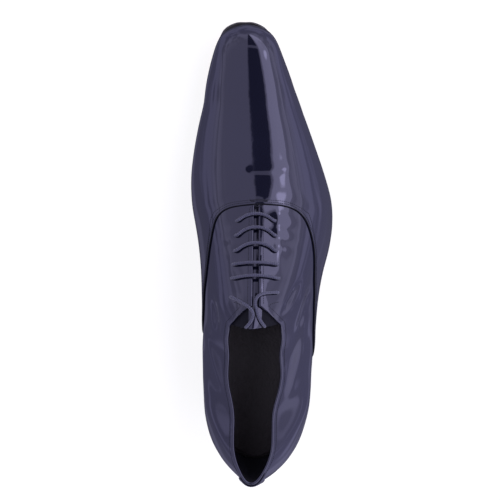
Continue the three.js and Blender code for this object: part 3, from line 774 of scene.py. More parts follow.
def tongue_grid():
    depth = WALL / 2 + TONGUE_DROP + TONGUE_THICKNESS / 2
    border = TONGUE_THICKNESS / 2
    grid = np.zeros((TONGUE_ROWS + 1, TONGUE_COLUMNS + 1, 3))
    for r, t in enumerate(np.linspace(0, 1, TONGUE_ROWS + 1)):
        back, front = mm(TONGUE["back"]) + border, mm(TONGUE["front"]) - border
        y = back + (front - back) * t
        half = (TONGUE["end_width"] + (TONGUE["width"] - TONGUE["end_width"]) * t) / 2 - border
        for c, s in enumerate(np.linspace(-1, 1, TONGUE_COLUMNS + 1)):
            grid[r, c] = on_instep(throat_x(y) + s * half, y, -depth)
    return grid


tongue_points = iron(tongue_grid(), TONGUE_IRONING)
tongue_faces = grid_triangles(*tongue_points.shape[:2])
across = np.gradient(tongue_points, axis=1)
along = np.gradient(tongue_points, axis=0)
face_up = np.cross(across, along).reshape(-1, 3)
face_up /= np.linalg.norm(face_up, axis=1, keepdims=True)
half_tongue = TONGUE_THICKNESS / 2
points, faces, _ = thick_sheet(
    tongue_points.reshape(-1, 3), face_up, tongue_faces, -half_tongue, half_tongue
)
tongue = new_piece("tongue_leather", points, faces)
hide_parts("tongue")


def beside_tab(p):
    """Above zero beside, above and in front of the strip over the back seam."""
    low, top = HEEL_TAB["low"], HEEL_TAB["top"]
    t = np.clip((p[:, 2] - low) / (top - low), 0, 1)
    half = (HEEL_TAB["low_width"] + (HEEL_TAB["width"] - HEEL_TAB["low_width"]) * t) / 2
    below = np.minimum(p[:, 2] - low, 0)
    aside = np.hypot(p[:, 0] - wide(HEEL_TAB_AT), below) - half
    return np.maximum(np.maximum(aside, p[:, 2] - top), p[:, 1] - TAB_BEHIND)


tab_sheet = clip(*whole, beside_tab)
points, faces, _ = thick_sheet(*tab_sheet, WALL / 2 + GAP, WALL / 2 + GAP + HEEL_TAB["thickness"])
heel_tab = new_piece("heel_strip", points, faces)
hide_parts("heel_tab")
print("tongue and heel strip made")

# %% [markdown]
# The sole: loops of the trimmed edge are stacked from the underside to the top, and rows
# across close both faces. Near the edge of the underside three close loops press in the
# channel that holds the sole stitch.

# %% Outline of the sole
SOLE_EDGE_COLUMNS = ("at", "med", "lat")
SOLE_EDGE = [
    (1.2, -7.6, 16.6), (4.0, -20.2, 27.4), (8.1, -29.0, 34.6), (13.0, -31.2, 38.2),
    (18.4, -29.4, 39.6), (24.2, -25.9, 40.6), (29.5, -21.6, 40.9), (35.0, -18.2, 43.6),
    (40.5, -17.0, 49.4), (45.6, -21.4, 55.6), (50.8, -29.2, 60.4), (55.5, -37.4, 62.0),
    (60.5, -40.9, 60.2), (65.7, -41.3, 55.8), (71.5, -38.4, 49.6), (77.4, -34.4, 43.0),
    (83.0, -30.4, 36.8), (88.0, -27.5, 30.5), (92.6, -23.2, 23.9), (96.2, -20.2, 18.6),
    (98.6, -15.8, 13.6), (99.9, -7.6, 5.2),
]
SOLE_BACK = 4.4
TOE_TIP = -1.2
POINTS_PER_STEP = 10
SOLE_COLUMNS = 48


def sole_ring():
    """The edge as pairs: from the heel along the outer side to the toe, and back."""
    rows = [dict(zip(SOLE_EDGE_COLUMNS, row)) for row in SOLE_EDGE]
    points = [(wide(SOLE_BACK), 0)]
    points += [(wide(row["lat"]), mm(row["at"])) for row in rows]
    points.append((wide(TOE_TIP), LENGTH))
    points += [(wide(row["med"]), mm(row["at"])) for row in reversed(rows)]
    places = np.linspace(0, len(points), len(points) * POINTS_PER_STEP, endpoint=False)
    return catmull(points, places, closed=True)


def inset(ring, margin):
    """The ring moved inwards by a margin."""
    along = np.roll(ring, -1, axis=0) - np.roll(ring, 1, axis=0)
    inwards = np.stack([-along[:, 1], along[:, 0]], axis=1)
    return ring + inwards / np.linalg.norm(inwards, axis=1, keepdims=True) * margin


def side_faces(levels, count):
    """Faces between loops of points that lie one above the other."""
    faces = []
    for level in range(levels - 1):
        a, b = level * count, (level + 1) * count
        for i in range(count):
            j = (i + 1) % count
            faces.append([a + i, a + j, b + j, b + i])
    return faces


def slab(loops, columns=SOLE_COLUMNS):
    """A closed slab from loops of points, low to high, with rows across both faces."""
    count = len(loops[0])
    points = list(np.concatenate(loops))
    faces = side_faces(len(loops), count)

    def row(level, i):
        """Ids across one face, from a loop point to its partner on the other side."""
        a, b = level * count + i, level * count + (count - i) % count
        if a == b:
            return [a]
        start = len(points)
        for k in range(1, columns):
            points.append(points[a] + (points[b] - points[a]) * k / columns)
        return [a, *range(start, start + columns - 1), b]

    for level, flip in ((0, False), (len(loops) - 1, True)):
        rows = [row(level, i) for i in range(count // 2 + 1)]
        for low, high in zip(rows, rows[1:]):
            for k in range(columns):
                quad = [
                    low[min(k, len(low) - 1)], low[min(k + 1, len(low) - 1)],
                    high[min(k + 1, len(high) - 1)], high[min(k, len(high) - 1)],
                ]
                quad = list(dict.fromkeys(quad))
                if len(quad) > 2:
                    faces.append(quad[::-1] if flip else quad)
    return np.array(points), faces


def at_height(ring, height):
    return np.column_stack([ring, height(ring[:, 1])])


ring = sole_ring()
print("sole ring:", len(ring), "points, length", round(ring[:, 1].max() - ring[:, 1].min(), 1))

# %% [markdown]
# A leather sole's edge is trimmed and dyed, so its profile is a row of insets and heights. The
# stitch lies in a shallow channel cut into the underside, which keeps the thread off the
# ground. Both are loops of the same ring, and that keeps every line parallel to the edge.

# %% Outsole
CHANNEL_AT = 5.0
CHANNEL_WIDTH = 0.7
CHANNEL_DEPTH = 0.45
CHANNEL_REST = 0.5
UNDERSIDE_PROFILE = [
    (CHANNEL_AT + CHANNEL_WIDTH + CHANNEL_REST, 0),
    (CHANNEL_AT + CHANNEL_WIDTH, 0),
    (CHANNEL_AT + CHANNEL_WIDTH / 3, CHANNEL_DEPTH),
    (CHANNEL_AT - CHANNEL_WIDTH / 3, CHANNEL_DEPTH),
    (CHANNEL_AT - CHANNEL_WIDTH, 0),
    (CHANNEL_AT - CHANNEL_WIDTH - CHANNEL_REST, 0),
]
EDGE_PROFILE = [
    (1.7, 0), (1.1, 0.04), (0.6, 0.14), (0.25, 0.3), (0, 0.5), (0.1, 0.7), (0.35, 0.86),
    (0.7, 0.97), (1.1, 1),
]


def outsole_mesh():
    loops = []
    for margin, depth in UNDERSIDE_PROFILE:
        loops.append(at_height(inset(ring, margin), lambda y, d=depth: sole_under(y) + d))
    for margin, share in EDGE_PROFILE:
        lift = share * SOLE_THICKNESS
        loops.append(at_height(inset(ring, margin), lambda y, h=lift: sole_under(y) + h))
    points, faces = slab(loops)
    x, y = points[:, 0], points[:, 1]
    inner = np.arange(len(points)) >= len(loops) * len(ring)
    lower = points[:, 2] < sole_under(y) + SOLE_THICKNESS / 2
    points[inner, 2] = np.where(lower, sole_under(y), sole_top(y))[inner]
    return points, faces


points, faces = outsole_mesh()
outsole = new_piece("outsole_leather", points, faces)
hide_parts("outsole")
print("outsole:", len(faces), "faces")

# %% [markdown]
# The heel is a pile of leather lifts with fine joints between them, on a rubber top piece.
# Its outline is the sole's, cut off along a breast that curves in. The breast is one smooth
# bend through three places, and the rings of every height are cut by it in the same way.

# %% Heel outline
BREAST = {"lat": 75, "middle": 66, "med": 86, "lat_x": 48.8, "med_x": -32.5}
BREAST_POINTS = 40
HEEL_SIDE_POINTS = 70


def breast_y(x):
    """How far forward the breast stands at x, on the curve through its three places."""
    t = np.linspace(0, 1, BREAST_POINTS)
    start = np.array([BREAST["lat_x"], BREAST["lat"]])
    pull = np.array([wide(SOLE_BACK), BREAST["middle"]])
    end = np.array([BREAST["med_x"], BREAST["med"]])
    u = t[:, None]
    curve = start * (1 - u) ** 2 + pull * 2 * u * (1 - u) + end * u**2
    order = np.argsort(curve[:, 0])
    return np.interp(x, curve[order, 0], curve[order, 1])


def heel_ring(margin):
    """The sole's edge behind the breast, closed along the breast."""
    edge = inset(ring, margin)
    half = len(edge) // 2
    sides = []
    for side in (edge[: half + 1], np.concatenate([edge[:1], edge[half:][::-1]])):
        keep = side[side[:, 1] < breast_y(side[:, 0])]
        ahead = side[len(keep)]
        back = keep[-1]
        gap_back = breast_y(back[0]) - back[1]
        gap_ahead = ahead[1] - breast_y(ahead[0])
        meet = back + (ahead - back) * gap_back / (gap_back + gap_ahead)
        sides.append(evenly(np.vstack([keep, meet]), HEEL_SIDE_POINTS))
    lat, med = sides
    xs = np.linspace(lat[-1][0], med[-1][0], BREAST_POINTS)[1:-1]
    breast = np.column_stack([xs, breast_y(xs)])
    return np.vstack([lat, breast, med[::-1][:-1]])


print("the breast stands", round(float(breast_y(wide(SOLE_BACK))), 1), "mm from the heel's back")

# %% [markdown]
# Each lift is three rings: a small groove at its foot, its full width just above, and its
# full width again below the next joint. So the joints are real grooves and catch the light.

# %% Heel lifts and top piece
LIFTS = 4
LIFT_GROOVE = 0.18
JOINT_SHARE = 0.0125
TOP_PIECE_PROFILE = [(2.8, 0), (2.35, 0.05), (2, 0.16), (1.85, 0.5), (1.8, 0.96), (2.0, 1)]


def stack(rings):
    """A closed form from rings of equal count, fanned shut below and above."""
    count = len(rings[0])
    points = list(np.concatenate(rings))
    faces = side_faces(len(rings), count)
    for level, flip in ((0, True), (len(rings) - 1, False)):
        first = level * count
        points.append(np.mean(points[first:first + count], axis=0))
        tip = len(points) - 1
        for i in range(count):
            face = [first + i, first + (i + 1) % count, tip]
            faces.append(face[::-1] if flip else face)
    return np.array(points), faces


def heel_stack_mesh():
    rings = []
    low = TOP_PIECE + GAP
    for lift in range(LIFTS):
        foot, head = lift / LIFTS, (lift + 1) / LIFTS
        if lift < LIFTS - 1:
            head -= JOINT_SHARE
        for share, groove in ((foot, LIFT_GROOVE), (foot + JOINT_SHARE, 0), (head, 0)):
            outline = heel_ring(HEEL_TAPER + (HEEL_INSET - HEEL_TAPER) * share + groove)
            high = sole_under(outline[:, 1]) - GAP
            rings.append(np.column_stack([outline, low + (high - low) * share]))
    return stack(rings)


points, faces = heel_stack_mesh()
heel_stack = new_piece("heel_lifts", points, faces)
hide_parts("heel_stack")

rings = []
for margin, share in TOP_PIECE_PROFILE:
    outline = heel_ring(margin)
    rings.append(np.column_stack([outline, np.full(len(outline), share * TOP_PIECE)]))
points, faces = stack(rings)
top_piece = new_piece("heel_rubber_piece", points, faces)
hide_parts("heel_top_piece")
print("heel made of", LIFTS, "lifts and a top piece")

# %% [markdown]
# The sock covers the insole. Only its heel and waist show through the collar, so it is one
# soft slab with a rounded edge.

# %% Sock
SOCK_INSET = SOLE_MARGIN + 0.5
SOCK_PROFILE = [(0.5, 0), (0, 0.2), (0, 0.7), (0.5, 0.94), (1.2, 1)]
SOCK_MIDDLE = 1
sock_loops = []
for margin, share in SOCK_PROFILE:
    lift = GAP + share * INSOLE_THICKNESS
    sock_loops.append(
        at_height(inset(ring, SOCK_INSET + margin), lambda y, h=lift: sole_top(y) + h)
    )
points, faces = slab(sock_loops)
inner = np.arange(len(points)) >= len(sock_loops) * len(ring)
bed = sole_top(points[:, 1])
lift = np.where(points[:, 2] - bed > SOCK_MIDDLE, GAP + INSOLE_THICKNESS, GAP)
points[inner, 2] = (bed + lift)[inner]
sock = new_piece("sock", points, faces)
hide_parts("insole")
print("sock:", len(faces), "faces")

# %% [markdown]
# Light and floor. The pictured shoe was lit by large white panels with a dark gap around the
# lens, which is what draws the dark stripe down the ridge. The sky below does the same: it
# is white overhead, with one dark panel and one bright panel beside it, and it dims towards
# the ground, because a gloss mirrors ever more strongly where it is seen from the side. Soft
# patches low down and two small windows break the reflections up.

# %% Node helpers
def node(tree, kind, **values):
    made = tree.nodes.new(kind)
    for key, value in values.items():
        setattr(made, key, value)
    return made


def feed(socket, value):
    """Gives an input its value, or a link where the value comes out of another node."""
    if isinstance(value, bpy.types.NodeSocket):
        socket.id_data.links.new(value, socket)
    else:
        socket.default_value = value


def set_inputs(made, **values):
    """Feeds inputs by their names, with _ for each space."""
    for label, value in values.items():
        feed(made.inputs[label.replace("_", " ")], value)
    return made


def math_node(tree, operation, *values):
    made = node(tree, "ShaderNodeMath", operation=operation)
    for socket, value in zip(made.inputs, values):
        feed(socket, value)
    return made.outputs[0]


def spread(tree, share, low, high):
    """low where the share is 0 and high where it is 1."""
    return math_node(tree, "MULTIPLY_ADD", share, high - low, low)


def smooth_between(tree, value, low, high):
    made = node(tree, "ShaderNodeMapRange", interpolation_type="SMOOTHSTEP")
    set_inputs(made, Value=value, From_Min=low, From_Max=high)
    return made.outputs["Result"]


def axes_of(tree, place):
    split = node(tree, "ShaderNodeSeparateXYZ")
    feed(split.inputs[0], place)
    return split.outputs


def noise(tree, place, scale, detail=2.0, roughness=0.5):
    made = node(tree, "ShaderNodeTexNoise")
    set_inputs(made, Vector=place, Scale=scale, Detail=detail, Roughness=roughness)
    return made.outputs[0]


def mix_colours(tree, factor, first, second):
    made = node(tree, "ShaderNodeMix", data_type="RGBA")
    feed(made.inputs[0], factor)
    for index, value in ((6, first), (7, second)):
        feed(made.inputs[index], (*value, 1) if isinstance(value, tuple) else value)
    return made.outputs[2]


print("node helpers ready")

# %% [markdown]
# The panels stand overhead, so they are drawn on the plane above the shoe: a direction
# divided by its own height gives a place on that plane, and a soft band there is a panel.

# %% Studio sky
SKY_LEVEL = 1.15
SKY_TINT = (0.85, 0.83, 1.0)
GROUND_TINT = (0.66, 0.64, 1.0)
TINT_TURN = (0.3, -0.6)
LEAST_UP = 0.05
OVERHEAD = (0.02, 0.12)
DARK_PANEL = {"from": -0.05, "to": 0.34, "soft": 0.04}
DARK_PANEL_LEVEL = 0.1
BRIGHT_PANEL = {"from": 0.35, "to": 1.5, "soft": 0.08}
BRIGHT_PANEL_LEVEL = 1.25
PANEL_GAP = {"from": 1.28, "to": 1.6, "soft": 0.05}
PANEL_GAP_LEVEL = 0.7
RIGHT_WALL = (0.0, 0.6)
RIGHT_WALL_LEVEL = 0.35
CLUTTER_STRETCH = (3.2, 1.1, 3.2)
CLUTTER_EDGES = (0.44, 0.56)
CLUTTER_MIDDLE = 0.45
CLUTTER_LOW = (0.6, 0.05)
CLUTTER_DEPTH = 0.5
WINDOWS = [((0.88, -0.31, -0.33), 0.988, 2.5), ((0.46, 0.68, 0.57), 0.994, 2.5)]
PANE_SOFT = 0.3
HORIZON = (0.1, -0.1)
GROUND_LEVEL = 0.88
GROUND_FALL = 0.75


def band(tree, value, spec):
    """1 between two values, with soft ends."""
    rise = smooth_between(tree, value, spec["from"], spec["from"] + spec["soft"])
    fall = smooth_between(tree, value, spec["to"] - spec["soft"], spec["to"])
    return math_node(tree, "SUBTRACT", rise, fall)


def panels(sky, x, y, z):
    """White, with the bright panel, the lighter right side and the dark panel with its gap."""
    up = math_node(sky, "MAXIMUM", z, LEAST_UP)
    sideways = math_node(sky, "DIVIDE", x, up)
    forwards = math_node(sky, "DIVIDE", y, up)
    overhead = smooth_between(sky, z, *OVERHEAD)
    beside = math_node(sky, "MULTIPLY", band(sky, sideways, BRIGHT_PANEL), overhead)
    bright = math_node(sky, "MULTIPLY", beside, BRIGHT_PANEL_LEVEL)
    right = math_node(sky, "MULTIPLY", smooth_between(sky, x, *RIGHT_WALL), RIGHT_WALL_LEVEL)
    level = math_node(sky, "ADD", math_node(sky, "ADD", bright, right), 1.0)
    middle = math_node(sky, "MULTIPLY", band(sky, sideways, DARK_PANEL), overhead)
    gap = math_node(sky, "MULTIPLY", middle, band(sky, forwards, PANEL_GAP))
    dark = math_node(sky, "MULTIPLY_ADD", gap, -PANEL_GAP_LEVEL, middle)
    return math_node(sky, "MULTIPLY", level, spread(sky, dark, 1.0, DARK_PANEL_LEVEL))


def dimming(sky, z):
    """1 overhead, falling off below the horizon."""
    below = math_node(sky, "ADD", math_node(sky, "MINIMUM", z, 0.0), 1.0)
    below = math_node(sky, "POWER", math_node(sky, "MAXIMUM", below, 0.0), GROUND_FALL)
    dim = spread(sky, smooth_between(sky, z, *HORIZON), 1.0, GROUND_LEVEL)
    return math_node(sky, "MULTIPLY", below, dim)


def clutter(sky, direction, z):
    """Lighter and darker patches low down, around 1."""
    stretch = set_inputs(node(sky, "ShaderNodeMapping"), Vector=direction, Scale=CLUTTER_STRETCH)
    patches = smooth_between(sky, noise(sky, stretch.outputs[0], 1.0), *CLUTTER_EDGES)
    low = math_node(sky, "MULTIPLY", smooth_between(sky, z, *CLUTTER_LOW), CLUTTER_DEPTH)
    patches = math_node(sky, "SUBTRACT", patches, CLUTTER_MIDDLE)
    return math_node(sky, "MULTIPLY_ADD", patches, low, 1.0)


def build_sky():
    world = bpy.data.worlds.new("studio")
    world.use_nodes = True
    bpy.context.scene.world = world
    sky = world.node_tree
    direction = node(sky, "ShaderNodeTexCoord").outputs["Generated"]
    x, y, z = axes_of(sky, direction)
    level = math_node(sky, "MULTIPLY", panels(sky, x, y, z), dimming(sky, z))
    level = math_node(sky, "MULTIPLY", level, clutter(sky, direction, z))
    for towards, edge, brightness in WINDOWS:
        facing = node(sky, "ShaderNodeVectorMath", operation="DOT_PRODUCT")
        feed(facing.inputs[0], direction)
        feed(facing.inputs[1], towards)
        inner_edge = 1 - PANE_SOFT * (1 - edge)
        pane = smooth_between(sky, facing.outputs["Value"], edge, inner_edge)
        level = math_node(sky, "MULTIPLY_ADD", pane, brightness, level)
    tint = mix_colours(sky, smooth_between(sky, z, *TINT_TURN), SKY_TINT, GROUND_TINT)
    strength = math_node(sky, "MULTIPLY", level, SKY_LEVEL)
    set_inputs(sky.nodes["Background"], Strength=strength, Color=tint)


build_sky()
bpy.context.scene.view_settings.view_transform = "Standard"
print("sky with", len(WINDOWS), "windows")

# %% [markdown]
# The floor is white paper that glows a little, so that it stays white under a tinted sky. The
# leather doesn't mirror it, because its sides would come out grey.

# %% Floor
FLOOR_SIZE = 3.0
FLOOR_DROP = 0.0003
FLOOR_CORNERS = [(-1, -1), (1, -1), (1, 1), (-1, 1)]
PAPER_COLOUR = (0.24, 0.24, 0.23, 1)
PAPER_GLOW = 0.8


def new_material(name, **values):
    made = bpy.data.materials.new(name)
    made.use_nodes = True
    shader = set_inputs(made.node_tree.nodes["Principled BSDF"], **values)
    return made, made.node_tree, shader


floor_mesh = bpy.data.meshes.new("floor")
half = FLOOR_SIZE / 2
floor_mesh.from_pydata(
    [(x * half, y * half, -FLOOR_DROP) for x, y in FLOOR_CORNERS], [], [(0, 1, 2, 3)]
)
floor = bpy.data.objects.new("floor", floor_mesh)
bpy.context.scene.collection.objects.link(floor)
floor.visible_glossy = False
paper, _, _ = new_material(
    "white_paper",
    Base_Color=PAPER_COLOUR,
    Roughness=0.9,
    Emission_Color=(1, 1, 1, 1),
    Emission_Strength=PAPER_GLOW,
)
floor_mesh.materials.append(paper)
print("floor of", FLOOR_SIZE, "m")

# %% [markdown]
# Effects that several leathers share are node groups: the waves of a clear film, a mask of
# scuffs and a pebbled grain. Each material sets its own scale and amount.

# %% Shared groups
SCUFF_EDGE = 4.0
LONG_WAVE = 0.2
WRINKLE_SCALE = 0.3
PEBBLE_HEIGHT = 0.7


def new_group(name, inputs, output):
    tree = bpy.data.node_groups.new(name, "ShaderNodeTree")
    for label, value in inputs.items():
        made = tree.interface.new_socket(label, in_out="INPUT", socket_type="NodeSocketFloat")
        made.default_value = value
    tree.interface.new_socket(output, in_out="OUTPUT", socket_type="NodeSocketFloat")
    return tree, tree.nodes.new("NodeGroupInput"), tree.nodes.new("NodeGroupOutput")


def object_place(tree):
    return node(tree, "ShaderNodeTexCoord").outputs["Object"]


def peel_group():
    """Long low waves and a fine orange peel, as a height."""
    tree, start, end = new_group("film_waves", {"Scale": 150.0, "Long share": 0.6}, "Height")
    place, scale = object_place(tree), start.outputs["Scale"]
    fine = noise(tree, place, scale, detail=2.0)
    long = noise(tree, place, math_node(tree, "MULTIPLY", scale, LONG_WAVE), detail=1.0)
    set_inputs(end, Height=math_node(tree, "MULTIPLY_ADD", long, start.outputs["Long share"], fine))
    return tree


def scuff_group():
    """A mask of scattered duller spots."""
    tree, start, end = new_group("scuffs", {"Scale": 30.0, "Amount": 0.4}, "Mask")
    spots = noise(tree, object_place(tree), start.outputs["Scale"], detail=6.0, roughness=0.62)
    low = math_node(tree, "SUBTRACT", 1.0, start.outputs["Amount"])
    mask = math_node(tree, "MULTIPLY", math_node(tree, "SUBTRACT", spots, low), SCUFF_EDGE)
    mask = math_node(tree, "MINIMUM", math_node(tree, "MAXIMUM", mask, 0.0), 1.0)
    set_inputs(end, Mask=mask)
    return tree


def grain_group():
    """Pebbled leather grain, as a height."""
    tree, start, end = new_group("leather_grain", {"Scale": 900.0}, "Height")
    place, scale = object_place(tree), start.outputs["Scale"]
    cells = node(tree, "ShaderNodeTexVoronoi", feature="SMOOTH_F1")
    set_inputs(cells, Vector=place, Scale=scale)
    wrinkles = noise(tree, place, math_node(tree, "MULTIPLY", scale, WRINKLE_SCALE), detail=3.0)
    pebbles = cells.outputs["Distance"]
    set_inputs(end, Height=math_node(tree, "MULTIPLY_ADD", pebbles, PEBBLE_HEIGHT, wrinkles))
    return tree


def use_group(tree, group, **values):
    return set_inputs(node(tree, "ShaderNodeGroup", node_tree=group), **values).outputs[0]


def bump(tree, shader, height, strength, distance):
    made = node(tree, "ShaderNodeBump")
    set_inputs(made, Height=height, Strength=strength, Distance=distance)
    set_inputs(shader, Normal=made.outputs["Normal"])


film_waves = peel_group()
scuffs = scuff_group()
leather_grain = grain_group()
print("groups:", film_waves.name, scuffs.name, leather_grain.name)

# %% [markdown]
# Patent leather is a deep black under a thick clear film: a mirror with a faint blue cast, a
# very slight orange peel, and here and there a duller, scuffed spot. The lining is plain
# grained leather. The vamp's cut edge and the sides of the tongue are a dull near-black that
# paints in shade: the shadow line under the vamp's step and the shade on the tongue beside
# the facings.

# %% Patent leather and lining
PATENT_BLACKS = ((0.0018, 0.002, 0.007), (0.0045, 0.005, 0.014))
LINING_BLACKS = ((0.012, 0.012, 0.018), (0.024, 0.023, 0.034))
# Painted shade: near-blacks for the sides of the tongue, which lie in the facings' shade.
TONGUE_SHADE_BLACKS = ((0.004, 0.004, 0.007), (0.009, 0.009, 0.014))
# Painted shade: near-blacks on the vamp's rim, for the shadow line under its step.
VAMP_EDGE_SHADE_BLACKS = ((0.003, 0.003, 0.005), (0.008, 0.008, 0.012))
TONGUE_GLOSS_HALF = 4.5


def patent_material():
    made, tree, shader = new_material(
        "patent_leather",
        IOR=1.58,
        Specular_Tint=(0.7, 0.68, 1.0, 1),
        Coat_Weight=0.25,
        Coat_Roughness=0.03,
    )
    cloud = noise(tree, object_place(tree), 22.0, detail=3.0)
    dull = use_group(tree, scuffs, Scale=38.0, Amount=0.42)
    set_inputs(
        shader,
        Base_Color=mix_colours(tree, cloud, *PATENT_BLACKS),
        Roughness=spread(tree, dull, 0.05, 0.13),
    )
    waves = use_group(tree, film_waves, Scale=130.0, Long_share=1.2)
    bump(tree, shader, waves, strength=0.12, distance=0.0004)
    return made


def lining_material():
    made, tree, shader = new_material("black_lining", IOR=1.4)
    cloud = noise(tree, object_place(tree), 60.0, detail=4.0)
    set_inputs(
        shader,
        Base_Color=mix_colours(tree, cloud, *LINING_BLACKS),
        Roughness=spread(tree, cloud, 0.5, 0.65),
    )
    grain = use_group(tree, leather_grain, Scale=1100.0)
    bump(tree, shader, grain, strength=0.3, distance=0.0002)
    return made


def tongue_shade_material():
    """Painted shade on the tongue's sides: a dull near-black that hardly mirrors the sky."""
    made, tree, shader = new_material("tongue_painted_shade", IOR=1.15, Roughness=0.6)
    fibre = noise(tree, object_place(tree), 800.0, detail=3.0)
    set_inputs(shader, Base_Color=mix_colours(tree, fibre, *TONGUE_SHADE_BLACKS))
    bump(tree, shader, fibre, strength=0.3, distance=0.0002)
    return made


def vamp_edge_shade_material():
    """The vamp's cut edge, painted a dull black for the shadow under the vamp's step."""
    made, tree, shader = new_material("vamp_edge_painted_shade", IOR=1.2, Roughness=0.55)
    edge_shade_tone = noise(tree, object_place(tree), 700.0, detail=3.0)
    set_inputs(shader, Base_Color=mix_colours(tree, edge_shade_tone, *VAMP_EDGE_SHADE_BLACKS))
    return made


patent = patent_material()
for piece in (quarters, vamp, tongue, heel_tab):
    piece.data.materials.append(patent)
quarters.data.materials.append(lining_material())
vamp.data.materials.append(vamp_edge_shade_material())
tongue.data.materials.append(tongue_shade_material())
# Outside a middle strip the tongue takes the painted shade.
for face in tongue.data.polygons:
    x, y, _ = np.array(face.center) / MILLIMETRE + ORIGIN
    face.material_index = int(abs(x - throat_x(y)) > TONGUE_GLOSS_HALF)
print("patent leather on quarters, vamp, tongue and heel strip")

# %% [markdown]
# The underside of the sole: a polished tan forepart and a waist burnished red-brown, which
# meet in a V whose tip points at the heel. A float curve holds that border: it turns the
# place across the sole into the place along it.

# %% Sole leather
BORDER = [
    (-38, 179.3), (-32.5, 178), (-20.7, 174), (-6.7, 166.7), (6.6, 157.4), (13.5, 151.6),
    (20, 159.4), (27.5, 165.7), (34.7, 172.2), (41.4, 177.3), (47.5, 180.2), (54, 180.9),
]
BORDER_TIP = 0.02
BORDER_SOFT = 0.0008
BORDER_WAVER = 0.0006
TANS = ((0.66, 0.27, 0.17), (0.80, 0.40, 0.29))
WAIST_REDS = ((0.17, 0.045, 0.035), (0.30, 0.09, 0.075))
SPECK_BROWN = (0.34, 0.12, 0.08)
SPECK_EDGES = (0.35, 0.75)
SPECK_STRENGTH = 0.28
EDGE_DYE = (0.008, 0.006, 0.008)


def border_curve(tree, across):
    """The border's place along the sole, from the place across it, both in metres."""
    xs, ys = zip(*[to_frame([x, y, 0])[:2] for x, y in BORDER])
    low_x, high_x, low_y, high_y = xs[0], xs[-1], min(ys), max(ys)
    share = math_node(tree, "DIVIDE", math_node(tree, "SUBTRACT", across, low_x), high_x - low_x)
    curve = node(tree, "ShaderNodeFloatCurve")
    line = curve.mapping.curves[0]
    places = [
        ((x - low_x) / (high_x - low_x), (y - low_y) / (high_y - low_y)) for x, y in zip(xs, ys)
    ]
    line.points[0].location = places[0]
    line.points[1].location = places[-1]
    for place in places[1:-1]:
        line.points.new(*place)
    for point in line.points:
        point.handle_type = "VECTOR" if point.location[1] < BORDER_TIP else "AUTO"
    curve.mapping.update()
    set_inputs(curve, Value=share)
    return spread(tree, curve.outputs[0], low_y, high_y)


def sole_material():
    made, tree, shader = new_material(
        "sole_leather", IOR=1.45, Coat_Weight=0.35, Coat_Roughness=0.18
    )
    place = object_place(tree)
    x, y, _ = axes_of(tree, place)
    waver = noise(tree, place, 300.0, detail=2.0)
    ahead = math_node(tree, "SUBTRACT", y, border_curve(tree, x))
    ahead = math_node(tree, "ADD", ahead, spread(tree, waver, -BORDER_WAVER, BORDER_WAVER))
    front = smooth_between(tree, ahead, -BORDER_SOFT, BORDER_SOFT)
    cloud = noise(tree, place, 26.0, detail=5.0, roughness=0.6)
    fibre = noise(tree, place, 420.0, detail=3.0, roughness=0.6)
    tan = mix_colours(tree, cloud, *TANS)
    waist = mix_colours(tree, cloud, *WAIST_REDS)
    base = mix_colours(tree, front, waist, tan)
    speck = math_node(tree, "MULTIPLY", smooth_between(tree, fibre, *SPECK_EDGES), SPECK_STRENGTH)
    worn = mix_colours(tree, speck, base, SPECK_BROWN)
    sides = node(tree, "ShaderNodeAttribute", attribute_name="edge")
    set_inputs(
        shader,
        Base_Color=mix_colours(tree, sides.outputs["Fac"], worn, EDGE_DYE),
        Roughness=spread(tree, cloud, 0.22, 0.42),
    )
    grain = use_group(tree, leather_grain, Scale=700.0)
    bump(tree, shader, grain, strength=0.35, distance=0.0002)
    return made


def paint_edge(piece):
    """Marks the dyed edge of the outsole: the trimmed edge's loops and the upper half."""
    mesh = piece.data
    values = np.zeros(len(mesh.vertices), np.float32)
    below = len(UNDERSIDE_PROFILE)
    values[(below + 1) * len(ring):(below + len(EDGE_PROFILE)) * len(ring)] = 1
    places = np.array([v.co for v in mesh.vertices]) / MILLIMETRE + ORIGIN
    values[places[:, 2] > sole_under(places[:, 1]) + SOLE_THICKNESS / 2] = 1
    mesh.attributes.new("edge", "FLOAT", "POINT").data.foreach_set("value", values)


paint_edge(outsole)
outsole.data.materials.append(sole_material())
print("sole leather painted, border of", len(BORDER), "points")

# %% [markdown]
# The lifts are the edges of stacked leather, burnished black, so their grain runs in thin
# level layers. The rubber is grey, dusty and moulded with cross ribs at the back. The sock is
# thin leather, worn dull.

# %% Heel, rubber and sock
LIFT_BROWNS = ((0.006, 0.005, 0.007), (0.018, 0.014, 0.016))
LAYER_SCALE = (30, 30, 900)
RUBBER_GREYS = ((0.035, 0.038, 0.062), (0.085, 0.09, 0.14))
RIB_PITCH = 0.0042
RIB_HEIGHT = 0.0006
RIB_SOFT = 0.5
RIBS_END = -0.112
RIBS_FADE = 0.001
SKIN_SHARE = 0.2
SOCK_BROWNS = ((0.022, 0.018, 0.022), (0.045, 0.037, 0.043))


def lifts_material():
    made, tree, shader = new_material(
        "burnished_lifts", IOR=1.5, Coat_Weight=0.3, Coat_Roughness=0.12
    )
    mapping = node(tree, "ShaderNodeMapping")
    set_inputs(mapping, Vector=object_place(tree), Scale=LAYER_SCALE)
    layers = noise(tree, mapping.outputs[0], 1.0, detail=3.0)
    set_inputs(
        shader,
        Base_Color=mix_colours(tree, layers, *LIFT_BROWNS),
        Roughness=spread(tree, layers, 0.2, 0.45),
    )
    bump(tree, shader, layers, strength=0.15, distance=0.0002)
    return made


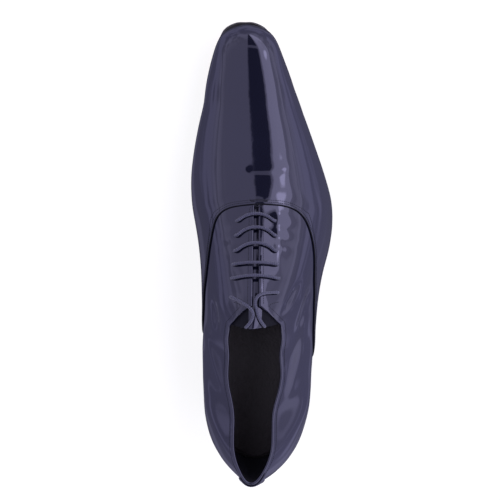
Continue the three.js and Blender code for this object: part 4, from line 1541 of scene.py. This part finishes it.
def rubber_material():
    made, tree, shader = new_material("heel_rubber", IOR=1.5)
    place = object_place(tree)
    dust = noise(tree, place, 120.0, detail=5.0, roughness=0.6)
    set_inputs(
        shader,
        Base_Color=mix_colours(tree, dust, *RUBBER_GREYS),
        Roughness=spread(tree, dust, 0.5, 0.7),
    )
    y = axes_of(tree, place)["Y"]
    wave = math_node(tree, "SINE", math_node(tree, "MULTIPLY", y, 2 * math.pi / RIB_PITCH))
    rear = smooth_between(tree, y, RIBS_END + RIBS_FADE, RIBS_END)
    ribs = math_node(tree, "MULTIPLY", smooth_between(tree, wave, -RIB_SOFT, RIB_SOFT), rear)
    skin = noise(tree, place, 1500.0, detail=3.0)
    height = math_node(tree, "MULTIPLY_ADD", skin, SKIN_SHARE, ribs)
    bump(tree, shader, height, strength=1.0, distance=RIB_HEIGHT)
    return made


def sock_material():
    made, tree, shader = new_material("sock_leather", IOR=1.45)
    cloud = noise(tree, object_place(tree), 70.0, detail=4.0)
    set_inputs(
        shader,
        Base_Color=mix_colours(tree, cloud, *SOCK_BROWNS),
        Roughness=spread(tree, cloud, 0.45, 0.65),
    )
    grain = use_group(tree, leather_grain, Scale=620.0)
    bump(tree, shader, grain, strength=0.6, distance=0.0004)
    return made


heel_stack.data.materials.append(lifts_material())
top_piece.data.materials.append(rubber_material())
sock.data.materials.append(sock_material())
print("heel, rubber and sock painted")

# %% [markdown]
# The lace is a waxed braid: two sets of strands that cross on a slant. On the cord's own UV
# map, two slanted waves multiplied give the little lozenges.

# %% Lace braid
BRAID_STRANDS = 5
BRAID_PITCH = 0.0026
BRAID_TONES = ((0.018, 0.018, 0.04), (0.062, 0.062, 0.11))


def braid_material():
    made, tree, shader = new_material("lace_braid", IOR=1.4, Sheen_Weight=0.15, Roughness=0.5)
    uv = axes_of(tree, node(tree, "ShaderNodeUVMap", uv_map="cord").outputs[0])
    along = math_node(tree, "MULTIPLY", uv["X"], 2 * math.pi / BRAID_PITCH)
    around = math_node(tree, "MULTIPLY", uv["Y"], 2 * math.pi * BRAID_STRANDS)
    right = math_node(tree, "SINE", math_node(tree, "ADD", along, around))
    left = math_node(tree, "SINE", math_node(tree, "SUBTRACT", along, around))
    weave = spread(tree, math_node(tree, "MULTIPLY", right, left), 0.5, 1.0)
    set_inputs(shader, Base_Color=mix_colours(tree, weave, *BRAID_TONES))
    bump(tree, shader, weave, strength=0.6, distance=0.00025)
    return made


braid = braid_material()
for piece in (lace_bars, *lace_ends):
    piece.data.materials.append(braid)
print("lace braided")

# %% [markdown]
# Stitches repeat along lines, so Geometry Nodes lay them: a line becomes a curve, the curve
# is cut at the stitch pitch, and a small rounded thread is set at each cut, turned along the
# line.

# %% Stitch tree
STITCH_SIZES = ("Pitch", "Stitch length", "Thread radius")
THREAD_SEGMENTS = 6
THREAD_RINGS = 5


def stitch_tree():
    tree = bpy.data.node_groups.new("stitches_on_lines", "GeometryNodeTree")
    face = tree.interface
    face.new_socket("Lines", in_out="INPUT", socket_type="NodeSocketGeometry")
    for label in STITCH_SIZES:
        face.new_socket(label, in_out="INPUT", socket_type="NodeSocketFloat")
    face.new_socket("Thread", in_out="INPUT", socket_type="NodeSocketMaterial")
    face.new_socket("Stitches", in_out="OUTPUT", socket_type="NodeSocketGeometry")
    start, end = tree.nodes.new("NodeGroupInput"), tree.nodes.new("NodeGroupOutput")
    pitch, length, radius = (start.outputs[label] for label in STITCH_SIZES)
    curve = set_inputs(node(tree, "GeometryNodeMeshToCurve"), Mesh=start.outputs["Lines"])
    cut = node(tree, "GeometryNodeResampleCurve", mode="LENGTH")
    set_inputs(cut, Curve=curve.outputs["Curve"], Length=pitch)
    thread = node(tree, "GeometryNodeMeshUVSphere")
    set_inputs(thread, Segments=THREAD_SEGMENTS, Rings=THREAD_RINGS, Radius=1.0)
    half_length = math_node(tree, "MULTIPLY", length, 0.5)
    shape = set_inputs(node(tree, "ShaderNodeCombineXYZ"), X=radius, Y=radius, Z=half_length)
    stitch = node(tree, "GeometryNodeTransform")
    set_inputs(stitch, Geometry=thread.outputs["Mesh"], Scale=shape.outputs[0])
    along = node(tree, "FunctionNodeAlignRotationToVector", axis="Z")
    set_inputs(along, Vector=node(tree, "GeometryNodeInputTangent").outputs[0])
    laid = node(tree, "GeometryNodeInstanceOnPoints")
    set_inputs(
        laid,
        Points=cut.outputs["Curve"],
        Instance=stitch.outputs[0],
        Rotation=along.outputs[0],
    )
    real = node(tree, "GeometryNodeRealizeInstances")
    smooth = node(tree, "GeometryNodeSetShadeSmooth")
    paint = node(tree, "GeometryNodeSetMaterial")
    feed(real.inputs[0], laid.outputs[0])
    feed(smooth.inputs[0], real.outputs[0])
    set_inputs(paint, Geometry=smooth.outputs[0], Material=start.outputs["Thread"])
    feed(end.inputs[0], paint.outputs[0])
    return tree


stitches_on_lines = stitch_tree()


def sew(name, lines, sizes, thread):
    """Stitches along lines given in millimetres, as one plain mesh."""
    points = np.concatenate(lines)
    pairs, first = [], 0
    for line in lines:
        pairs += [(first + i, first + i + 1) for i in range(len(line) - 1)]
        first += len(line)
    mesh = bpy.data.meshes.new(name + "_lines")
    mesh.from_pydata(to_frame(points).tolist(), pairs, [])
    host = bpy.data.objects.new(name + "_lines", mesh)
    bpy.context.scene.collection.objects.link(host)
    modifier = host.modifiers.new("stitches", "NODES")
    modifier.node_group = stitches_on_lines
    sockets = {s.name: s.identifier for s in stitches_on_lines.interface.items_tree}
    for label, size in zip(STITCH_SIZES, sizes):
        modifier[sockets[label]] = size * MILLIMETRE
    modifier[sockets["Thread"]] = thread
    bpy.context.view_layer.update()
    made = host.evaluated_get(bpy.context.evaluated_depsgraph_get())
    sewn = bpy.data.objects.new(name, bpy.data.meshes.new_from_object(made))
    bpy.context.scene.collection.objects.link(sewn)
    bpy.data.objects.remove(host)
    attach(sewn, "root")
    print(name, len(sewn.data.polygons), "faces")
    return sewn


print("stitch tree of", len(stitches_on_lines.nodes), "nodes")

# %% [markdown]
# A row of stitches keeps its distance from the cut. So a cutting line's field is turned into
# a distance over the surface, the place where it has the wanted value is traced through the
# grid's triangles, and the traced line is calmed and lifted onto the leather.

# %% Tracing lines on the last
FEWEST_POINTS = 8
KEPT_POINTS = 0.8
CALMING_ROUNDS = 6
FIELD_STEP = 0.05
LEAST_SLOPE = 0.15


def trace(points, normals, faces, field):
    """Lines where a field is zero on a sheet, as ordered points with their normals."""
    value = field(points)
    value[value == 0] = TINY
    pairs = edges_of(faces)
    pairs = pairs[(value[pairs[:, 0]] * value[pairs[:, 1]]) < 0]
    share = crossing(points, pairs, field)
    a, b = pairs[:, 0], pairs[:, 1]
    place = points[a] + (points[b] - points[a]) * share[:, None]
    normal = normals[a] + (normals[b] - normals[a]) * share[:, None]
    normal /= np.linalg.norm(normal, axis=1, keepdims=True)
    index = {tuple(p): k for k, p in enumerate(pairs.tolist())}
    corner = value[faces]
    near = {k: [] for k in range(len(pairs))}
    for face in faces[(corner < 0).any(1) & (corner > 0).any(1)].tolist():
        sides = [tuple(sorted((face[k], face[(k + 1) % 3]))) for k in range(3)]
        ends = [index[side] for side in sides if side in index]
        if len(ends) == 2:
            near[ends[0]].append(ends[1])
            near[ends[1]].append(ends[0])
    lines, left = [], set(near)
    while left:
        open_ends = [k for k in left if len(near[k]) == 1]
        chain = [min(open_ends) if open_ends else min(left)]
        left.discard(chain[0])
        while True:
            following = [n for n in near[chain[-1]] if n in left]
            if not following:
                break
            chain.append(following[0])
            left.discard(following[0])
        if len(chain) > FEWEST_POINTS:
            lines.append((place[chain], normal[chain]))
    return lines


def calmed(points, normals, lift):
    """A traced line lifted off the last, with even points and its jitter averaged out."""
    both = evenly(np.hstack([points, normals]), max(int(len(points) * KEPT_POINTS), FEWEST_POINTS))
    for _ in range(CALMING_ROUNDS):
        both[1:-1] = (both[:-2] + 2 * both[1:-1] + both[2:]) / 4
    return both[:, :3] + both[:, 3:] * lift


last_kd = KDTree(len(last_points))
for i, q in enumerate(last_points.tolist()):
    last_kd.insert(q, i)
last_kd.balance()


def off_the_last(slope, p):
    """The part of a slope that points off the last, by the nearest grid point's normal."""
    normal = last_flat_normals[[last_kd.find(q)[1] for q in p.tolist()]]
    return normal * (slope * normal).sum(1, keepdims=True)


def shifted(field, distance):
    """The same cutting line moved over the surface by a distance in millimetres."""

    def moved(p):
        value = field(p)
        steps = [(field(p + FIELD_STEP * axis) - value) / FIELD_STEP for axis in np.eye(3)]
        slope = np.stack(steps, axis=1)
        slope -= off_the_last(slope, p)
        return value / np.maximum(np.linalg.norm(slope, axis=1), LEAST_SLOPE) + distance

    return moved


def rows_of(field, distances, lift, keep):
    """Stitch lines inside a cut at some distances from it, where keep allows them."""
    found = []
    for distance in distances:
        for points, normals in trace(*whole, shifted(field, distance)):
            good = keep(points)
            if good.sum() > FEWEST_POINTS:
                found.append(calmed(points[good], normals[good], lift))
    return found


print("lines are traced on", len(last_points), "points of the last")

# %% [markdown]
# The vamp is sewn down with two rows along its edge. One row follows the topline and one runs
# along the slit on each facing, all in fine black thread.

# %% Stitching the upper
THREAD_CLEAR = 0.03
SEAM_LIFT = WALL / 2 + VAMP_STEP + THREAD_CLEAR
QUARTER_LIFT = WALL / 2 + THREAD_CLEAR
SEAM_ROWS = (1.2, 2.6)
SEAM_END = 2
TOPLINE_ROW = 2.6
TOPLINE_REACH = 3 * TOPLINE_ROW
FACING_ROW = 2.2
FACING_END = 1
UPPER_STITCH = (1.5, 1.3, 0.22)
THREAD_BLACKS = ((0.005, 0.005, 0.01), (0.022, 0.022, 0.034))


def thread_material():
    made, tree, shader = new_material("black_thread", IOR=1.25, Roughness=0.5)
    twist = noise(tree, object_place(tree), 900.0, detail=2.0)
    set_inputs(shader, Base_Color=mix_colours(tree, twist, *THREAD_BLACKS))
    return made


def above_sole(p):
    return p[:, 2] > sole_top(p[:, 1]) + SEAM_END


def by_the_topline(p):
    return (in_slit(p) < -FACING_ROW) & (over_topline(p) > -TOPLINE_REACH)


def on_the_facings(p):
    return (over_topline(p) < -TOPLINE_ROW) & (p[:, 1] < mm(THROAT["at"]) - FACING_END)


black_thread = thread_material()
upper_rows = rows_of(behind_vamp, SEAM_ROWS, SEAM_LIFT, above_sole)
upper_rows += rows_of(over_topline, (TOPLINE_ROW,), QUARTER_LIFT, by_the_topline)
upper_rows += rows_of(in_slit, (FACING_ROW,), QUARTER_LIFT, on_the_facings)
upper_stitches = sew("upper_stitches", upper_rows, UPPER_STITCH, black_thread)

# %% [markdown]
# At the front of the slit a small crescent of close stitches holds the facings together. Its
# rows climb from the quarters onto the vamp, so each place asks on which side of the vamp's
# edge it lies.

# %% Tack at the end of the slit
TACK = {"x": 7.6, "half": 5.6, "front": 189.4, "depth": 3.8, "rows": 4}
TACK_POINTS = 31
TACK_CLIMB = 0.6
TACK_STITCH = (0.8, 1.5, 0.36)


def tack_rows():
    """A crescent of close rows across the vamp's edge, over the front of the slit."""
    edge = mm(VAMP_EDGE[0][0])
    rows = []
    for share in np.linspace(0, 1, TACK["rows"]):
        row = []
        for s in np.linspace(-1, 1, TACK_POINTS):
            y = TACK["front"] - TACK["depth"] * share * (1 - s * s)
            step = np.interp(y, (edge - TACK_CLIMB, edge + TACK_CLIMB), (0, 1))
            x = TACK["x"] + TACK["half"] * s
            row.append(on_instep(x, y, QUARTER_LIFT + VAMP_STEP * step))
        rows.append(np.array(row))
    return rows


throat_tack = sew("throat_tack", tack_rows(), TACK_STITCH, black_thread)

# %% [markdown]
# The sole stitch lies in its channel. It runs from the heel's breast on the outer side round
# the toe to the breast on the inner side, and the heel would hide the rest.

# %% Stitching the sole
SOLE_STITCH = (3.2, 2.7, 0.34)
SEAM_FROM = 76
SEAM_TO = 87

channel = at_height(inset(ring, CHANNEL_AT), lambda y: sole_under(y) + CHANNEL_DEPTH)
first = int(np.argmax(channel[:, 1] > SEAM_FROM))
end = len(channel) - int(np.argmax(channel[::-1, 1] > SEAM_TO))
sole_stitches = sew("sole_stitches", [channel[first:end]], SOLE_STITCH, black_thread)
